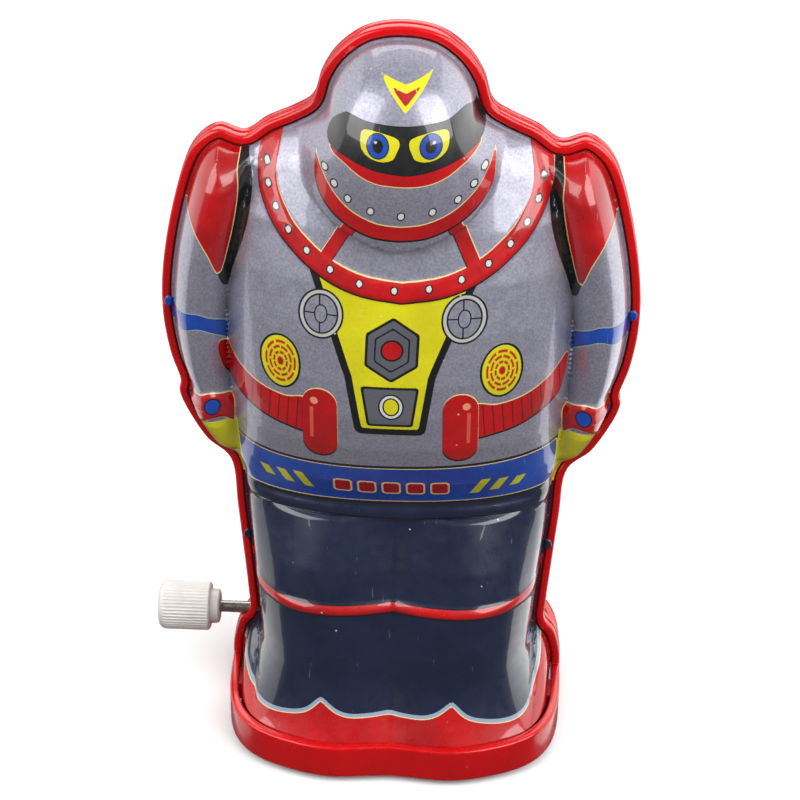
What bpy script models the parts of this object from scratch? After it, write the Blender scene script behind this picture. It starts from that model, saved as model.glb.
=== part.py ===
"""Wind-up tin robot: two pressed tin shells in a red plastic frame, on a base with a spring motor.

Metres, +Z up. The robot faces -Y and its winding knob is at -X.
The origin is the centre of the base plate's flat underside.
Lengths below are in millimetres and are turned into metres when a mesh is made.
"""
import math

import bmesh
import bpy
import numpy as np
from mathutils import Vector
from mathutils.geometry import delaunay_2d_cdt

MM = 0.001
GAP = 0.3

# ---- silhouette of the frame, right half, from the crown down to the base ----
SILHOUETTE = (
    (0.0, 125.2), (5.5, 124.2), (9.7, 121.1), (12.2, 117.2), (13.6, 112.9), (16.3, 110.9),
    (20.6, 108.8), (24.2, 106.4), (28.2, 107.4), (31.7, 104.9), (34.0, 100.0), (36.3, 91.0),
    (37.7, 82.0), (37.9, 74.5), (37.0, 67.5), (35.6, 62.4), (35.8, 59.8), (34.4, 56.0),
    (31.6, 51.0), (27.7, 46.8), (26.9, 38.0), (26.2, 29.5), (25.5, 20.5), (25.4, 16.0),
    (27.2, 13.2), (28.2, 9.4), (28.4, 6.5),
)
STEPS_PER_SPAN = 2

# ---- base ----
BASE_HALF_WIDTH = 28.4
BASE_HALF_DEPTH = 25.0
BASE_POWER = 3.7
FOOT_LOBE = 1.1
FOOT_LOBE_X = 10.0
FOOT_LOBE_WIDTH = 7.0
BASE_HEIGHT = 6.2
SKIRT_WALL = 1.35
PLATE_THICKNESS = 1.0
PLATE_INSET = SKIRT_WALL + 0.35
BASE_SIDES = 72
BOSS_X, BOSS_Y = 22.8, 6.5
BOSS_HALF = 2.2
SCREW_HOLE = 1.1
SCREW_HEAD = 1.6
SCREW_HEAD_TOP = 0.55
SEAT_RADIUS = 2.6
SEAT_TOP = 1.6
POCKET_RADIUS = 1.95
POCKET_TOP = SCREW_HEAD_TOP + 0.3
MOTOR_SCREW_X, MOTOR_SCREW_Y = 11.6, -7.0
SCREW_TOP = 3.4

# ---- frame section ----
FRAME_DEPTH = 1.8
PARTING = 0.15
RIM_WIDTH = 1.35
LEDGE_WIDTH = 3.0
LEDGE_DEPTH = 1.0

# ---- tin shells ----
TIN = 0.4
TIN_EDGE = RIM_WIDTH + GAP
TIN_FLANGE = 1.7
FLANGE_END = 2.4
TIN_FOOT = 5.6
TIN_GRID = 4.4
TIN_FLOOR = 4.2
TAB_RADIUS = 1.3
TAB_HEIGHTS = (77.2, 32.2)

# ---- winding shaft and knob ----
SHAFT_Z = 15.1
SHAFT_RADIUS = 1.0
KNOB_IN, KNOB_COLLAR, KNOB_OUT = -30.6, -32.2, -41.1
KNOB_RADIUS = 4.25
KNOB_FLUTES = 18
BORE_CLEARANCE = 0.2
FIT_CLEARANCE = GAP

# ---- gear train: two modules, teeth and places of the arbors in the (y, z) plane ----
MODULE_1 = 0.75
MODULE_2 = 0.65
MAIN_TEETH, DRIVE_TEETH, SECOND_PINION_TEETH = 30, 9, 10
SECOND_TEETH, ESCAPE_PINION_TEETH = 24, 8
ESCAPE_TEETH = 12
CENTRE_PLAY = 0.06
ARBOR_RADIUS = 0.75
DRIVE_WHEEL_RADIUS = 6.5
FRONT_WHEEL_RADIUS = 4.5
WHEEL_DROP = 1.3
DRIVE_WHEEL_X = 17.0
FRONT_WHEEL_X = 12.5
FRONT_AXLE_Y = -17.5

MOTOR_X = 8.5
MOTOR_PLATE = 0.8
MAIN_GEAR_X = 5.0
SECOND_GEAR_X = 7.2
ESCAPE_WHEEL_X = 0.0
PLATE_OUTLINE = ((-13.0, 1.6), (18.5, 1.6), (18.5, 17.0), (8.8, 46.0), (-8.0, 46.0), (-13.0, 24.0))
POSTS = ((-11.0, 4.6), (15.4, 13.6), (-5.6, 43.6), (7.6, 43.6))
POST_RADIUS = 1.2


def clear_scene():
    for thing in list(bpy.data.objects):
        bpy.data.objects.remove(thing, do_unlink=True)


# ------------------------------------------------------------------ materials
def material(name, colour, roughness, metallic=0.0):
    made = bpy.data.materials.get(name)
    if made:
        return made
    made = bpy.data.materials.new(name)
    made.use_nodes = True
    shader = made.node_tree.nodes["Principled BSDF"]
    shader.inputs["Base Color"].default_value = (*colour, 1.0)
    shader.inputs["Roughness"].default_value = roughness
    shader.inputs["Metallic"].default_value = metallic
    return made


def tin_litho():
    return material("tin_litho", (0.36, 0.35, 0.42), 0.22, 0.3)


def red_plastic():
    return material("red_plastic", (0.62, 0.01, 0.015), 0.3)


def white_nylon():
    return material("white_nylon", (0.86, 0.86, 0.84), 0.45)


def steel():
    return material("steel", (0.48, 0.46, 0.43), 0.3, 1.0)


def brass():
    return material("brass", (0.7, 0.5, 0.2), 0.3, 1.0)


def spring_steel():
    return material("spring_steel", (0.12, 0.13, 0.17), 0.3, 1.0)


def black_plastic():
    return material("black_plastic", (0.03, 0.03, 0.035), 0.4)


def rubber():
    return material("rubber", (0.02, 0.02, 0.02), 0.8)


# ------------------------------------------------------------------ mesh tools
def add_object(name, bm, mat, smooth_angle=None, parent=None):
    """Turns a bmesh in millimetres into a named object, its faces pointing out."""
    bmesh.ops.scale(bm, vec=(MM, MM, MM), verts=bm.verts)
    bmesh.ops.recalc_face_normals(bm, faces=bm.faces)
    if bm.calc_volume(signed=True) < 0:
        bmesh.ops.reverse_faces(bm, faces=bm.faces)
    mesh = bpy.data.meshes.new(name)
    bm.to_mesh(mesh)
    bm.free()
    mesh.materials.append(mat)
    if smooth_angle:
        mesh.shade_smooth()
        mesh.set_sharp_from_angle(angle=math.radians(smooth_angle))
    made = bpy.data.objects.new(name, mesh)
    bpy.context.collection.objects.link(made)
    if parent:
        made.parent = parent
        made.matrix_parent_inverse = parent.matrix_world.inverted()
    return made


def loft(bm, rings, caps=True):
    """Skins a list of point rings with quads and closes both ends."""
    made = [[bm.verts.new(point) for point in ring] for ring in rings]
    count = len(made[0])
    for lower, upper in zip(made, made[1:]):
        for i in range(count):
            j = (i + 1) % count
            bm.faces.new((lower[i], lower[j], upper[j], upper[i]))
    if caps:
        bm.faces.new(made[0][::-1])
        bm.faces.new(made[-1])
    return made


def turned(profile, sides, centre=(0.0, 0.0)):
    """A solid turned about an X axis through centre (y, z); profile is (x, radius) points."""
    bm = bmesh.new()
    rings = []
    for x, radius in profile:
        ring = []
        for i in range(sides):
            a = 2 * math.pi * i / sides
            ring.append((x, centre[0] + radius * math.cos(a), centre[1] + radius * math.sin(a)))
        rings.append(ring)
    loft(bm, rings)
    return bm


def tube(profile_out, profile_in, sides, centre=(0.0, 0.0)):
    """A turned solid with a bore: an outer and an inner (x, radius) profile joined into one ring."""
    bm = bmesh.new()
    section = list(profile_out) + list(reversed(profile_in))
    rings = []
    for i in range(sides):
        a = 2 * math.pi * i / sides
        ring = [(x, centre[0] + r * math.cos(a), centre[1] + r * math.sin(a)) for x, r in section]
        rings.append(ring)
    made = loft(bm, rings, caps=False)
    count = len(section)
    for i in range(count):
        j = (i + 1) % count
        bm.faces.new((made[-1][i], made[-1][j], made[0][j], made[0][i]))
    return bm


def prism_x(outline, x0, x1):
    """An outline in (y, z) made solid between x0 and x1."""
    bm = bmesh.new()
    loft(bm, [[(x0, y, z) for y, z in outline], [(x1, y, z) for y, z in outline]])
    return bm


def toothed_prism(outline, per_tooth, x0, x1, centre, bore, phase):
    """A toothed outline made solid between x0 and x1, with a bore that has one corner per tooth."""
    bm = bmesh.new()
    teeth = len(outline) // per_tooth
    hole = ring_points(centre, bore, teeth, phase)
    ends = []
    for x in (x0, x1):
        outer = [bm.verts.new((x, y, z)) for y, z in outline]
        ends.append((outer, [bm.verts.new((x, y, z)) for y, z in hole]))
    for outer, inner in ends:
        for k in range(teeth):
            after = (k + 1) % teeth
            tooth = outer[k * per_tooth:(k + 1) * per_tooth]
            bm.faces.new(tooth + [outer[after * per_tooth], inner[after], inner[k]])
    for low, high in zip(ends[0], ends[1]):
        for i in range(len(low)):
            j = (i + 1) % len(low)
            bm.faces.new((low[i], low[j], high[j], high[i]))
    return bm


def ring_points(centre, radius, count, phase=0.0):
    made = []
    for i in range(count):
        a = phase + 2 * math.pi * i / count
        made.append((centre[0] + radius * math.cos(a), centre[1] + radius * math.sin(a)))
    return made


def box(bm, low, high):
    corners = [(x, y, z) for x in (low[0], high[0]) for y in (low[1], high[1]) for z in (low[2], high[2])]
    v = [bm.verts.new(c) for c in corners]
    for face in ((0, 1, 3, 2), (4, 6, 7, 5), (0, 4, 5, 1), (2, 3, 7, 6), (0, 2, 6, 4), (1, 5, 7, 3)):
        bm.faces.new([v[i] for i in face])


def box_object(name, low, high):
    bm = bmesh.new()
    box(bm, low, high)
    return tool_object(name, bm)


def tool_object(name, bm):
    """A hidden shape that a Boolean modifier reads."""
    made = add_object(name, bm, steel())
    made.hide_render = True
    made.display_type = "WIRE"
    return made


def post_tool(name, x, y, radius, z0, z1, sides=12):
    bm = bmesh.new()
    points = ring_points((x, y), radius, sides)
    loft(bm, [[(px, py, z) for px, py in points] for z in (z0, z1)])
    return tool_object(name, bm)


def boolean(target, tool, operation):
    modifier = target.modifiers.new(tool.name, "BOOLEAN")
    modifier.operation = operation
    modifier.object = tool
    modifier.solver = "EXACT"


def pivot(name, y, z):
    made = bpy.data.objects.new(name, None)
    made.location = (0.0, y * MM, z * MM)
    bpy.context.collection.objects.link(made)
    bpy.context.view_layer.update()
    return made


# ------------------------------------------------------------------ outlines
def catmull_rom(points, steps):
    """A smooth curve through the points, with steps samples in each span."""
    p = [np.array(q, float) for q in points]
    p = [2 * p[0] - p[1]] + p + [2 * p[-1] - p[-2]]
    made = []
    for a, b, c, d in zip(p, p[1:], p[2:], p[3:]):
        for i in range(steps):
            t = i / steps
            made.append(0.5 * (2 * b + (c - a) * t + (2 * a - 5 * b + 4 * c - d) * t * t
                               + (3 * b - a - 3 * c + d) * t ** 3))
    made.append(p[-2])
    return np.array(made)


def frame_line():
    """The silhouette from the right foot over the crown to the left foot."""
    head = SILHOUETTE[1]
    half = catmull_rom(((-head[0], head[1]),) + SILHOUETTE, STEPS_PER_SPAN)[STEPS_PER_SPAN:]
    left = half[1:] * np.array([-1.0, 1.0])
    return np.vstack([half[::-1], left])


def inward_normals(line):
    """Directions to the inside of the line, evened out so that small bumps don't fold over."""
    tangent = np.gradient(line, axis=0)
    tangent /= np.linalg.norm(tangent, axis=1)[:, None]
    normal = np.stack([-tangent[:, 1], tangent[:, 0]], axis=1)
    for _ in range(3):
        padded = np.vstack([normal[:1], normal, normal[-1:]])
        normal = padded[:-2] + 2 * padded[1:-1] + padded[2:]
        normal /= np.linalg.norm(normal, axis=1)[:, None]
    normal[0] = (-1.0, 0.0)
    normal[-1] = (1.0, 0.0)
    return normal


def offset(line, distance):
    return line + inward_normals(line) * distance


def base_depth(x, inset=0.0):
    """Half the base's depth at x: a squarish oval with a low swelling in front of each foot."""
    bump = FOOT_LOBE * np.exp(-((np.abs(x) - FOOT_LOBE_X) / FOOT_LOBE_WIDTH) ** 2)
    ratio = np.clip(np.abs(x) / (BASE_HALF_WIDTH - inset), 0.0, 1.0)
    return (BASE_HALF_DEPTH - inset + bump) * (1.0 - ratio ** BASE_POWER) ** (1.0 / BASE_POWER)


def base_ring(inset=0.0, sides=BASE_SIDES):
    made = []
    for i in range(sides):
        a = 2 * math.pi * (i + 0.5) / sides
        c, s = math.cos(a), math.sin(a)
        x = (BASE_HALF_WIDTH - inset) * math.copysign(abs(c) ** (2 / BASE_POWER), c)
        made.append((x, math.copysign(float(base_depth(x, inset)), s)))
    return made


# ------------------------------------------------------------------ pressed relief
HEAD_CENTRE_Z, HEAD_HALF_WIDTH, HEAD_UP, HEAD_DOWN, HEAD_DEPTH = 106.0, 16.0, 18.8, 22.0, 15.8
CHIN_CENTRE_Z, CHIN_HALF_WIDTH, CHIN_HALF_HEIGHT, CHIN_STEP = 108.0, 15.4, 13.6, (0.985, 1.03)
TORSO_LEVELS = (44.0, 46.6, 48.0, 52.0, 56.0, 60.0, 66.0, 72.0, 80.0, 88.0, 96.0, 104.0, 111.0, 116.0)
TORSO_DEPTH = (12.0, 12.0, 12.6, 14.6, 16.0, 16.9, 17.4, 17.2, 16.2, 14.6, 12.3, 9.4, 6.2, 3.0)
TORSO_WIDTH = (26.4, 26.4, 26.5, 26.7, 26.9, 27.2, 27.5, 27.6, 27.6, 27.2, 26.0, 22.5, 17.0, 12.0)
TORSO_POWER = 2.25
ARM_LEVELS = (46.0, 48.0, 52.0, 57.0, 64.0, 70.0, 77.0, 86.0, 94.0, 100.0, 105.0, 109.0)
ARM_CENTRE = (27.2, 27.6, 29.0, 30.2, 31.0, 31.6, 31.9, 31.3, 29.8, 28.6, 27.6, 27.0)
ARM_WIDTH = (1.5, 2.6, 4.2, 4.8, 4.6, 4.9, 5.2, 5.4, 5.8, 5.9, 5.4, 4.0)
ARM_DEPTH = (2.0, 3.4, 6.0, 7.6, 7.4, 8.0, 8.4, 8.8, 9.0, 8.6, 6.5, 3.0)
LEG_LEVELS = (5.6, 12.0, 20.0, 29.3, 35.0, 40.0, 43.4)
LEG_DEPTH = (20.6, 20.0, 19.2, 17.7, 16.0, 13.8, 12.0)
CLEFT_DEPTH = (18.0, 17.2, 16.0, 14.4, 13.2, 12.3, 11.7)
LEG_WIDTH = (23.5, 23.5, 23.6, 24.4, 25.2, 25.8, 26.1)
LEG_POWER = (2.2, 2.0, 1.8, 1.6, 1.6, 1.7, 1.8)
LEG_CENTRE = 9.5
CLEFT_POWER = 1.7
FOOT_TOP, FOOT_POWER = 17.0, 1.9
JOIN_POWER = 6


def smooth_step(low, high, value):
    t = np.clip((value - low) / (high - low), 0.0, 1.0)
    return t * t * (3.0 - 2.0 * t)


def head_relief(x, z):
    """The helmet, which overhangs the body along its lower crescent edge."""
    up = (z - HEAD_CENTRE_Z) / np.where(z > HEAD_CENTRE_Z, HEAD_UP, HEAD_DOWN)
    ball = HEAD_DEPTH * np.sqrt(np.clip(1.0 - (x / HEAD_HALF_WIDTH) ** 2 - up ** 2, 0.0, 1.0))
    reach = np.hypot(x / CHIN_HALF_WIDTH, (z - CHIN_CENTRE_Z) / CHIN_HALF_HEIGHT)
    return ball * np.where(z < CHIN_CENTRE_Z, 1.0 - smooth_step(*CHIN_STEP, reach), 1.0)


def torso_relief(x, z):
    width = np.interp(z, TORSO_LEVELS, TORSO_WIDTH)
    across = np.clip(1.0 - (x / width) ** TORSO_POWER, 0.0, 1.0) ** (1.0 / TORSO_POWER)
    return np.interp(z, TORSO_LEVELS, TORSO_DEPTH) * across * (z > LEG_LEVELS[-1])


def arm_relief(x, z):
    """A round arm whose middle, width and depth change with height."""
    off_centre = (x - np.interp(z, ARM_LEVELS, ARM_CENTRE)) / np.interp(z, ARM_LEVELS, ARM_WIDTH)
    return np.interp(z, ARM_LEVELS, ARM_DEPTH) * np.sqrt(np.clip(1.0 - off_centre ** 2, 0.0, 1.0))


def leg_relief(x, z):
    """One leg's round outer side, running into a shallow cleft between the two legs."""
    depth = np.interp(z, LEG_LEVELS, LEG_DEPTH)
    power = np.interp(z, LEG_LEVELS, LEG_POWER)
    outward = np.clip((x - LEG_CENTRE) / (np.interp(z, LEG_LEVELS, LEG_WIDTH) - LEG_CENTRE), 0.0, 1.0)
    inward = np.clip((LEG_CENTRE - x) / LEG_CENTRE, 0.0, 1.0)
    outer = depth * (1.0 - outward ** power) ** (1.0 / power)
    inner = depth - (depth - np.interp(z, LEG_LEVELS, CLEFT_DEPTH)) * inward ** CLEFT_POWER
    return np.where(x > LEG_CENTRE, outer, inner) * (z < LEG_LEVELS[-1])


def relief(x, z):
    """How far the tin stands out from the robot's middle plane, before its edge is rounded."""
    x = np.abs(x)
    parts = (head_relief(x, z), torso_relief(x, z), arm_relief(x, z), leg_relief(x, z))
    body = sum(part ** JOIN_POWER for part in parts) ** (1.0 / JOIN_POWER)
    foot = np.clip((FOOT_TOP - z) / (FOOT_TOP - TIN_FOOT), 0.0, 1.0) ** FOOT_POWER
    return body * (1.0 - foot) + base_depth(x, TIN_EDGE + 0.2) * foot


def line_distance(points, line):
    """The distance of each point to the nearest stretch of the line."""
    best = np.full(len(points), 1e9)
    for a, b in zip(line[:-1], line[1:]):
        along = b - a
        t = np.clip(((points - a) @ along) / (along @ along), 0.0, 1.0)
        best = np.minimum(best, np.linalg.norm(points - (a + t[:, None] * along), axis=1))
    return best


def tin_height(points, line):
    """The tin's outer surface: a flat flange at the frame, then a rounded rise to the relief."""
    x, z = points[:, 0], points[:, 1]
    from_edge = line_distance(points, line)
    radius = np.interp(z, (6.0, 16.0, 50.0, 125.0), (0.6, 2.0, 3.5, 4.5))
    rise = np.clip((from_edge - FLANGE_END) / radius, 0.0, 1.0)
    round_edge = np.sqrt(1.0 - (1.0 - rise) ** 2)
    body = (relief(x, z) ** 4 + TIN_FLOOR ** 4) ** 0.25
    return TIN_FLANGE + (body - TIN_FLANGE) * round_edge


def tin_points(line):
    """The points of the sheet in (x, z): rows that follow its edge, then an even grid."""
    rows = []
    for distance in (TIN_EDGE, FLANGE_END, FLANGE_END + 1.0, FLANGE_END + 3.0):
        row = offset(line, distance)
        row[0, 1] = TIN_FOOT
        row[-1, 1] = TIN_FOOT
        rows.append(row)
    edge = rows[0]
    across = np.linspace(rows[-1][-1, 0], rows[-1][0, 0], 15)[1:-1]
    corners = [row[-1] for row in rows[1:]] + [np.array([x, TIN_FOOT]) for x in across]
    corners += [row[0] for row in rows[:0:-1]]
    loop = np.vstack([edge, corners])
    inner = [row[1:-1] for row in rows[1:]]
    columns = np.arange(-9, 10) * TIN_GRID
    levels = np.arange(TIN_FOOT + 3.0, 124.0, TIN_GRID * 0.9)
    grid = np.array([(x + (k % 2) * TIN_GRID / 2, z) for k, z in enumerate(levels) for x in columns])
    hull = np.vstack([line, line[:1]])
    keep = inside_line(grid, hull) & (line_distance(grid, line) > FLANGE_END + 4.2)
    return loop, np.vstack(inner + [grid[keep]])


def inside_line(points, closed):
    """Which points lie inside the closed line, by counting crossings."""
    inside = np.zeros(len(points), bool)
    for a, b in zip(closed[:-1], closed[1:]):
        crosses = (a[1] > points[:, 1]) != (b[1] > points[:, 1])
        reach = a[0] + (points[:, 1] - a[1]) / (b[1] - a[1] + 1e-12) * (b[0] - a[0])
        inside ^= crosses & (points[:, 0] < reach)
    return inside


def tin_shell(name, side, line):
    """One pressed shell. side is -1 for the front and +1 for the rear."""
    loop, inner = tin_points(line)
    count = len(loop)
    flat = [Vector(p) for p in np.vstack([loop, inner])]
    edges = [(i, (i + 1) % count) for i in range(count)]
    points, _, faces, *_ = delaunay_2d_cdt(flat, edges, [], 1, 1e-5)
    points = np.array([tuple(p) for p in points])
    height = tin_height(points, line)
    outer = np.stack([points[:, 0], side * height, points[:, 1]], axis=1)
    normals = np.zeros_like(outer)
    triangles = np.array([f[:3] for f in faces])
    for a, b, c in triangles:
        n = np.cross(outer[b] - outer[a], outer[c] - outer[a])
        normals[[a, b, c]] += n if n[1] * side > 0 else -n
    normals /= np.linalg.norm(normals, axis=1)[:, None]
    inner_side = outer - normals * TIN
    bm = bmesh.new()
    front = [bm.verts.new(p) for p in outer]
    back = [bm.verts.new(p) for p in inner_side]
    for a, b, c in triangles:
        bm.faces.new((front[a], front[b], front[c]))
        bm.faces.new((back[c], back[b], back[a]))
    used = {}
    for a, b, c in triangles:
        for u, v in ((a, b), (b, c), (c, a)):
            used[(u, v)] = True
    for u, v in used:
        if (v, u) not in used:
            bm.faces.new((front[v], front[u], back[u], back[v]))
    made = add_object(name, bm, tin_litho(), 35)
    add_tabs(made, side, line)
    return made


def add_tabs(shell, side, line):
    """Small round tabs of the sheet that lie over the frame's rim at the arms and the legs."""
    half = line[:len(line) // 2]
    seat = FRAME_DEPTH + GAP
    for index, z in enumerate(TAB_HEIGHTS):
        at = half[np.argmin(np.abs(half[:, 1] - z) + 100 * (half[:, 0] < 20))][0] - TAB_RADIUS - 0.25
        for sign, end in ((-1, "left"), (1, "right")):
            bm = bmesh.new()
            disc = ring_points((sign * at, z), TAB_RADIUS, 12)
            loft(bm, [[(x, side * depth, h) for x, h in disc] for depth in (seat, seat + TIN)])
            boolean(shell, tool_object(f"{shell.name}_tab_{index}_{end}", bm), "UNION")


# ------------------------------------------------------------------ casing
def frame_half(name, side, line):
    """One half of the red frame: a rim with a ledge behind the tin's flange, and two tongues."""
    section = ((0.0, FRAME_DEPTH), (RIM_WIDTH, FRAME_DEPTH), (RIM_WIDTH, LEDGE_DEPTH),
               (LEDGE_WIDTH, LEDGE_DEPTH), (LEDGE_WIDTH, PARTING), (0.0, PARTING))
    rows = [(offset(line, distance), depth) for distance, depth in section]
    bm = bmesh.new()
    loft(bm, [[(row[i, 0], side * depth, row[i, 1]) for row, depth in rows] for i in range(len(line))])
    made = add_object(name, bm, red_plastic(), 35)
    low, high = sorted((side * (PARTING + 0.1), side * (LEDGE_DEPTH - 0.1)))
    for sign, end in ((-1, "left"), (1, "right")):
        x0, x1 = sorted((sign * 24.2, sign * (BASE_HALF_WIDTH - SKIRT_WALL - 0.4)))
        tongue = box_object(f"{name}_tongue_{end}", (x0, low, PLATE_THICKNESS + 0.6), (x1, high, 9.0))
        boolean(made, tongue, "UNION")
    bm = turned(((-32.0, SHAFT_RADIUS + GAP + 0.05), (-20.0, SHAFT_RADIUS + GAP + 0.05)), 24, (0, SHAFT_Z))
    boolean(made, tool_object(f"{name}_shaft_hole", bm), "DIFFERENCE")
    return made


def base_housing():
    """The skirt of the base, with a screw boss on each side of each end of the frame."""
    bm = bmesh.new()
    rings = [(base_ring(), 0.0), (base_ring(), BASE_HEIGHT), (base_ring(SKIRT_WALL), BASE_HEIGHT),
             (base_ring(SKIRT_WALL), 0.0)]
    rows = [[bm.verts.new((x, y, z)) for x, y in points] for points, z in rings]
    for a, b in zip(rows, rows[1:] + rows[:1]):
        for i in range(BASE_SIDES):
            j = (i + 1) % BASE_SIDES
            bm.faces.new((a[i], a[j], b[j], b[i]))
    made = add_object("base_housing", bm, red_plastic(), 35)
    for index, (sx, sy) in enumerate(((-1, -1), (1, -1), (1, 1), (-1, 1))):
        x0, x1 = sorted((sx * (BOSS_X - BOSS_HALF), sx * (BASE_HALF_WIDTH - SKIRT_WALL + 0.4)))
        y0, y1 = sorted((sy * (BOSS_Y - BOSS_HALF), sy * (BOSS_Y + BOSS_HALF)))
        block = box_object(f"boss_{index}", (x0, y0, SEAT_TOP + GAP), (x1, y1, TIN_FOOT - 0.5))
        boolean(made, block, "UNION")
        hole = post_tool(f"boss_hole_{index}", sx * BOSS_X, sy * BOSS_Y, SCREW_HOLE, 0.0, SCREW_TOP + 0.6)
        boolean(made, hole, "DIFFERENCE")
    return made


def base_plate():
    """The bottom plate with slots for the wheels and two brackets for the front axle."""
    bm = bmesh.new()
    ring = base_ring(PLATE_INSET, 48)
    loft(bm, [[(x, y, z) for x, y in ring] for z in (0.0, PLATE_THICKNESS)])
    made = add_object("base_plate", bm, red_plastic(), 35)
    axle_y, axle_z = drive_centre()
    for sign, end in ((-1, "left"), (1, "right")):
        x0, x1 = sorted((sign * (FRONT_WHEEL_X - 4.6), sign * (FRONT_WHEEL_X - 3.4)))
        bracket = box_object(f"bracket_{end}", (x0, FRONT_AXLE_Y - 2.0, 0.5), (x1, FRONT_AXLE_Y + 2.0, 5.4))
        boolean(made, bracket, "UNION")
        for label, wheel_x, wheel_y, reach in (("drive", DRIVE_WHEEL_X, axle_y, 5.4),
                                               ("front", FRONT_WHEEL_X, FRONT_AXLE_Y, 4.6)):
            x = sign * wheel_x
            slot = box_object(f"slot_{label}_{end}", (x - 2.3, wheel_y - reach, -1.0),
                              (x + 2.3, wheel_y + reach, 2.0))
            boolean(made, slot, "DIFFERENCE")
        screw_seat(made, f"front_{end}", sign * BOSS_X, -BOSS_Y)
        screw_seat(made, f"rear_{end}", sign * BOSS_X, BOSS_Y)
        screw_seat(made, f"motor_{end}", sign * MOTOR_SCREW_X, MOTOR_SCREW_Y)
    bore = turned(((-20.0, ARBOR_RADIUS + BORE_CLEARANCE), (20.0, ARBOR_RADIUS + BORE_CLEARANCE)), 16,
                  front_centre())
    boolean(made, tool_object("front_bore", bore), "DIFFERENCE")
    return made


def screw_seat(plate, name, x, y):
    """A raised seat on the plate's inner side, with a pocket that takes the screw head from below."""
    boolean(plate, post_tool(f"seat_{name}", x, y, SEAT_RADIUS, 0.5 * PLATE_THICKNESS, SEAT_TOP, 18), "UNION")
    boolean(plate, post_tool(f"pocket_{name}", x, y, POCKET_RADIUS, -1.0, POCKET_TOP, 18), "DIFFERENCE")
    boolean(plate, post_tool(f"hole_{name}", x, y, SCREW_HOLE, -1.0, SEAT_TOP + 1.0), "DIFFERENCE")


def screw(name, x, y):
    """A pan-head screw driven up from below, its head inside the pocket of its seat."""
    bm = bmesh.new()
    radii = ((0.05, 1.1), (0.25, SCREW_HEAD), (SCREW_HEAD_TOP, SCREW_HEAD), (SCREW_HEAD_TOP, 0.8),
             (SCREW_TOP - 0.5, 0.8), (SCREW_TOP, 0.35))
    loft(bm, [[(px, py, z) for px, py in ring_points((x, y), r, 12)] for z, r in radii])
    return add_object(name, bm, steel(), 35)


# ------------------------------------------------------------------ places of the arbors
def gear_distance(module, a, b):
    return module * (a + b) / 2 + CENTRE_PLAY


def main_centre():
    return (0.0, SHAFT_Z)


def drive_centre():
    z = DRIVE_WHEEL_RADIUS - WHEEL_DROP
    distance = gear_distance(MODULE_1, MAIN_TEETH, DRIVE_TEETH)
    return (math.sqrt(distance ** 2 - (SHAFT_Z - z) ** 2), z)


def front_centre():
    return (FRONT_AXLE_Y, FRONT_WHEEL_RADIUS - WHEEL_DROP)


def away(centre, distance, degrees):
    a = math.radians(degrees)
    return (centre[0] + distance * math.cos(a), centre[1] + distance * math.sin(a))


def second_centre():
    return away(main_centre(), gear_distance(MODULE_1, MAIN_TEETH, SECOND_PINION_TEETH), 110.0)


def escape_centre():
    return away(second_centre(), gear_distance(MODULE_2, SECOND_TEETH, ESCAPE_PINION_TEETH), 35.0)


def pallet_centre():
    return away(escape_centre(), 6.4, 90.0)


# ------------------------------------------------------------------ gears
def gear_outline(centre, teeth, module, phase):
    """Trapezoid teeth, thinner than half the pitch so that meshed gears run with play."""
    pitch = 2 * math.pi / teeth
    radius = module * teeth / 2
    tip, root = radius + 0.7 * module, radius - 0.95 * module
    made = []
    for k in range(teeth):
        middle = phase + k * pitch
        for share, r in ((-0.27, root), (-0.11, tip), (0.11, tip), (0.27, root)):
            a = middle + share * pitch
            made.append((centre[0] + r * math.cos(a), centre[1] + r * math.sin(a)))
    return made


def meshed_phase(centre_a, teeth_a, phase_a, centre_b, teeth_b):
    """The phase of gear b that puts its tooth gap on gear a's tooth."""
    forward = math.atan2(centre_b[1] - centre_a[1], centre_b[0] - centre_a[0])
    share = (forward - phase_a) * teeth_a / (2 * math.pi)
    return forward + math.pi + (share + 0.5) * 2 * math.pi / teeth_b


def gear(name, centre, teeth, module, phase, x, width, bore, mat, parent):
    outline = gear_outline(centre, teeth, module, phase)
    start = phase - 0.27 * 2 * math.pi / teeth
    bm = toothed_prism(outline, 4, x - width / 2, x + width / 2, centre, bore, start)
    return add_object(name, bm, mat, parent=parent)


def arbor(name, centre, x0, x1, radius, parent, mat=None, sides=14):
    profile = ((x0, radius - 0.2), (x0 + 0.3, radius), (x1 - 0.3, radius), (x1, radius - 0.2))
    bm = turned(profile, sides, centre)
    return add_object(name, bm, mat or steel(), 35, parent)


def winding_train():
    centre = main_centre()
    axis = pivot("winding_axis", *centre)
    phase = math.atan2(drive_centre()[1] - centre[1], drive_centre()[0] - centre[0])
    arbor("winding_shaft", centre, -36.0, MOTOR_X + MOTOR_PLATE + 0.6, SHAFT_RADIUS, axis, sides=18)
    gear("main_gear", centre, MAIN_TEETH, MODULE_1, phase, MAIN_GEAR_X, 1.2,
         SHAFT_RADIUS + FIT_CLEARANCE, brass(), axis)
    ratchet = []
    teeth = 10
    for k in range(teeth):
        for share, radius in ((0.0, 3.5), (0.12, 2.6), (0.55, 2.95)):
            a = 2 * math.pi * (k + share) / teeth
            ratchet.append((centre[0] + radius * math.cos(a), centre[1] + radius * math.sin(a)))
    bm = toothed_prism(ratchet, 3, 2.5, 3.7, centre, SHAFT_RADIUS + FIT_CLEARANCE, 0.0)
    add_object("ratchet_wheel", bm, steel(), parent=axis)
    y, z = centre
    pawl = ((y + 4.3, z - 0.6), (y + 5.2, z - 1.5), (y + 7.4, z + 3.0), (y + 6.6, z + 3.9),
            (y + 5.6, z + 3.2))
    add_object("click_pawl", prism_x(pawl, 2.6, 3.6), steel(), parent=axis)
    knob(axis)
    return phase


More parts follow.
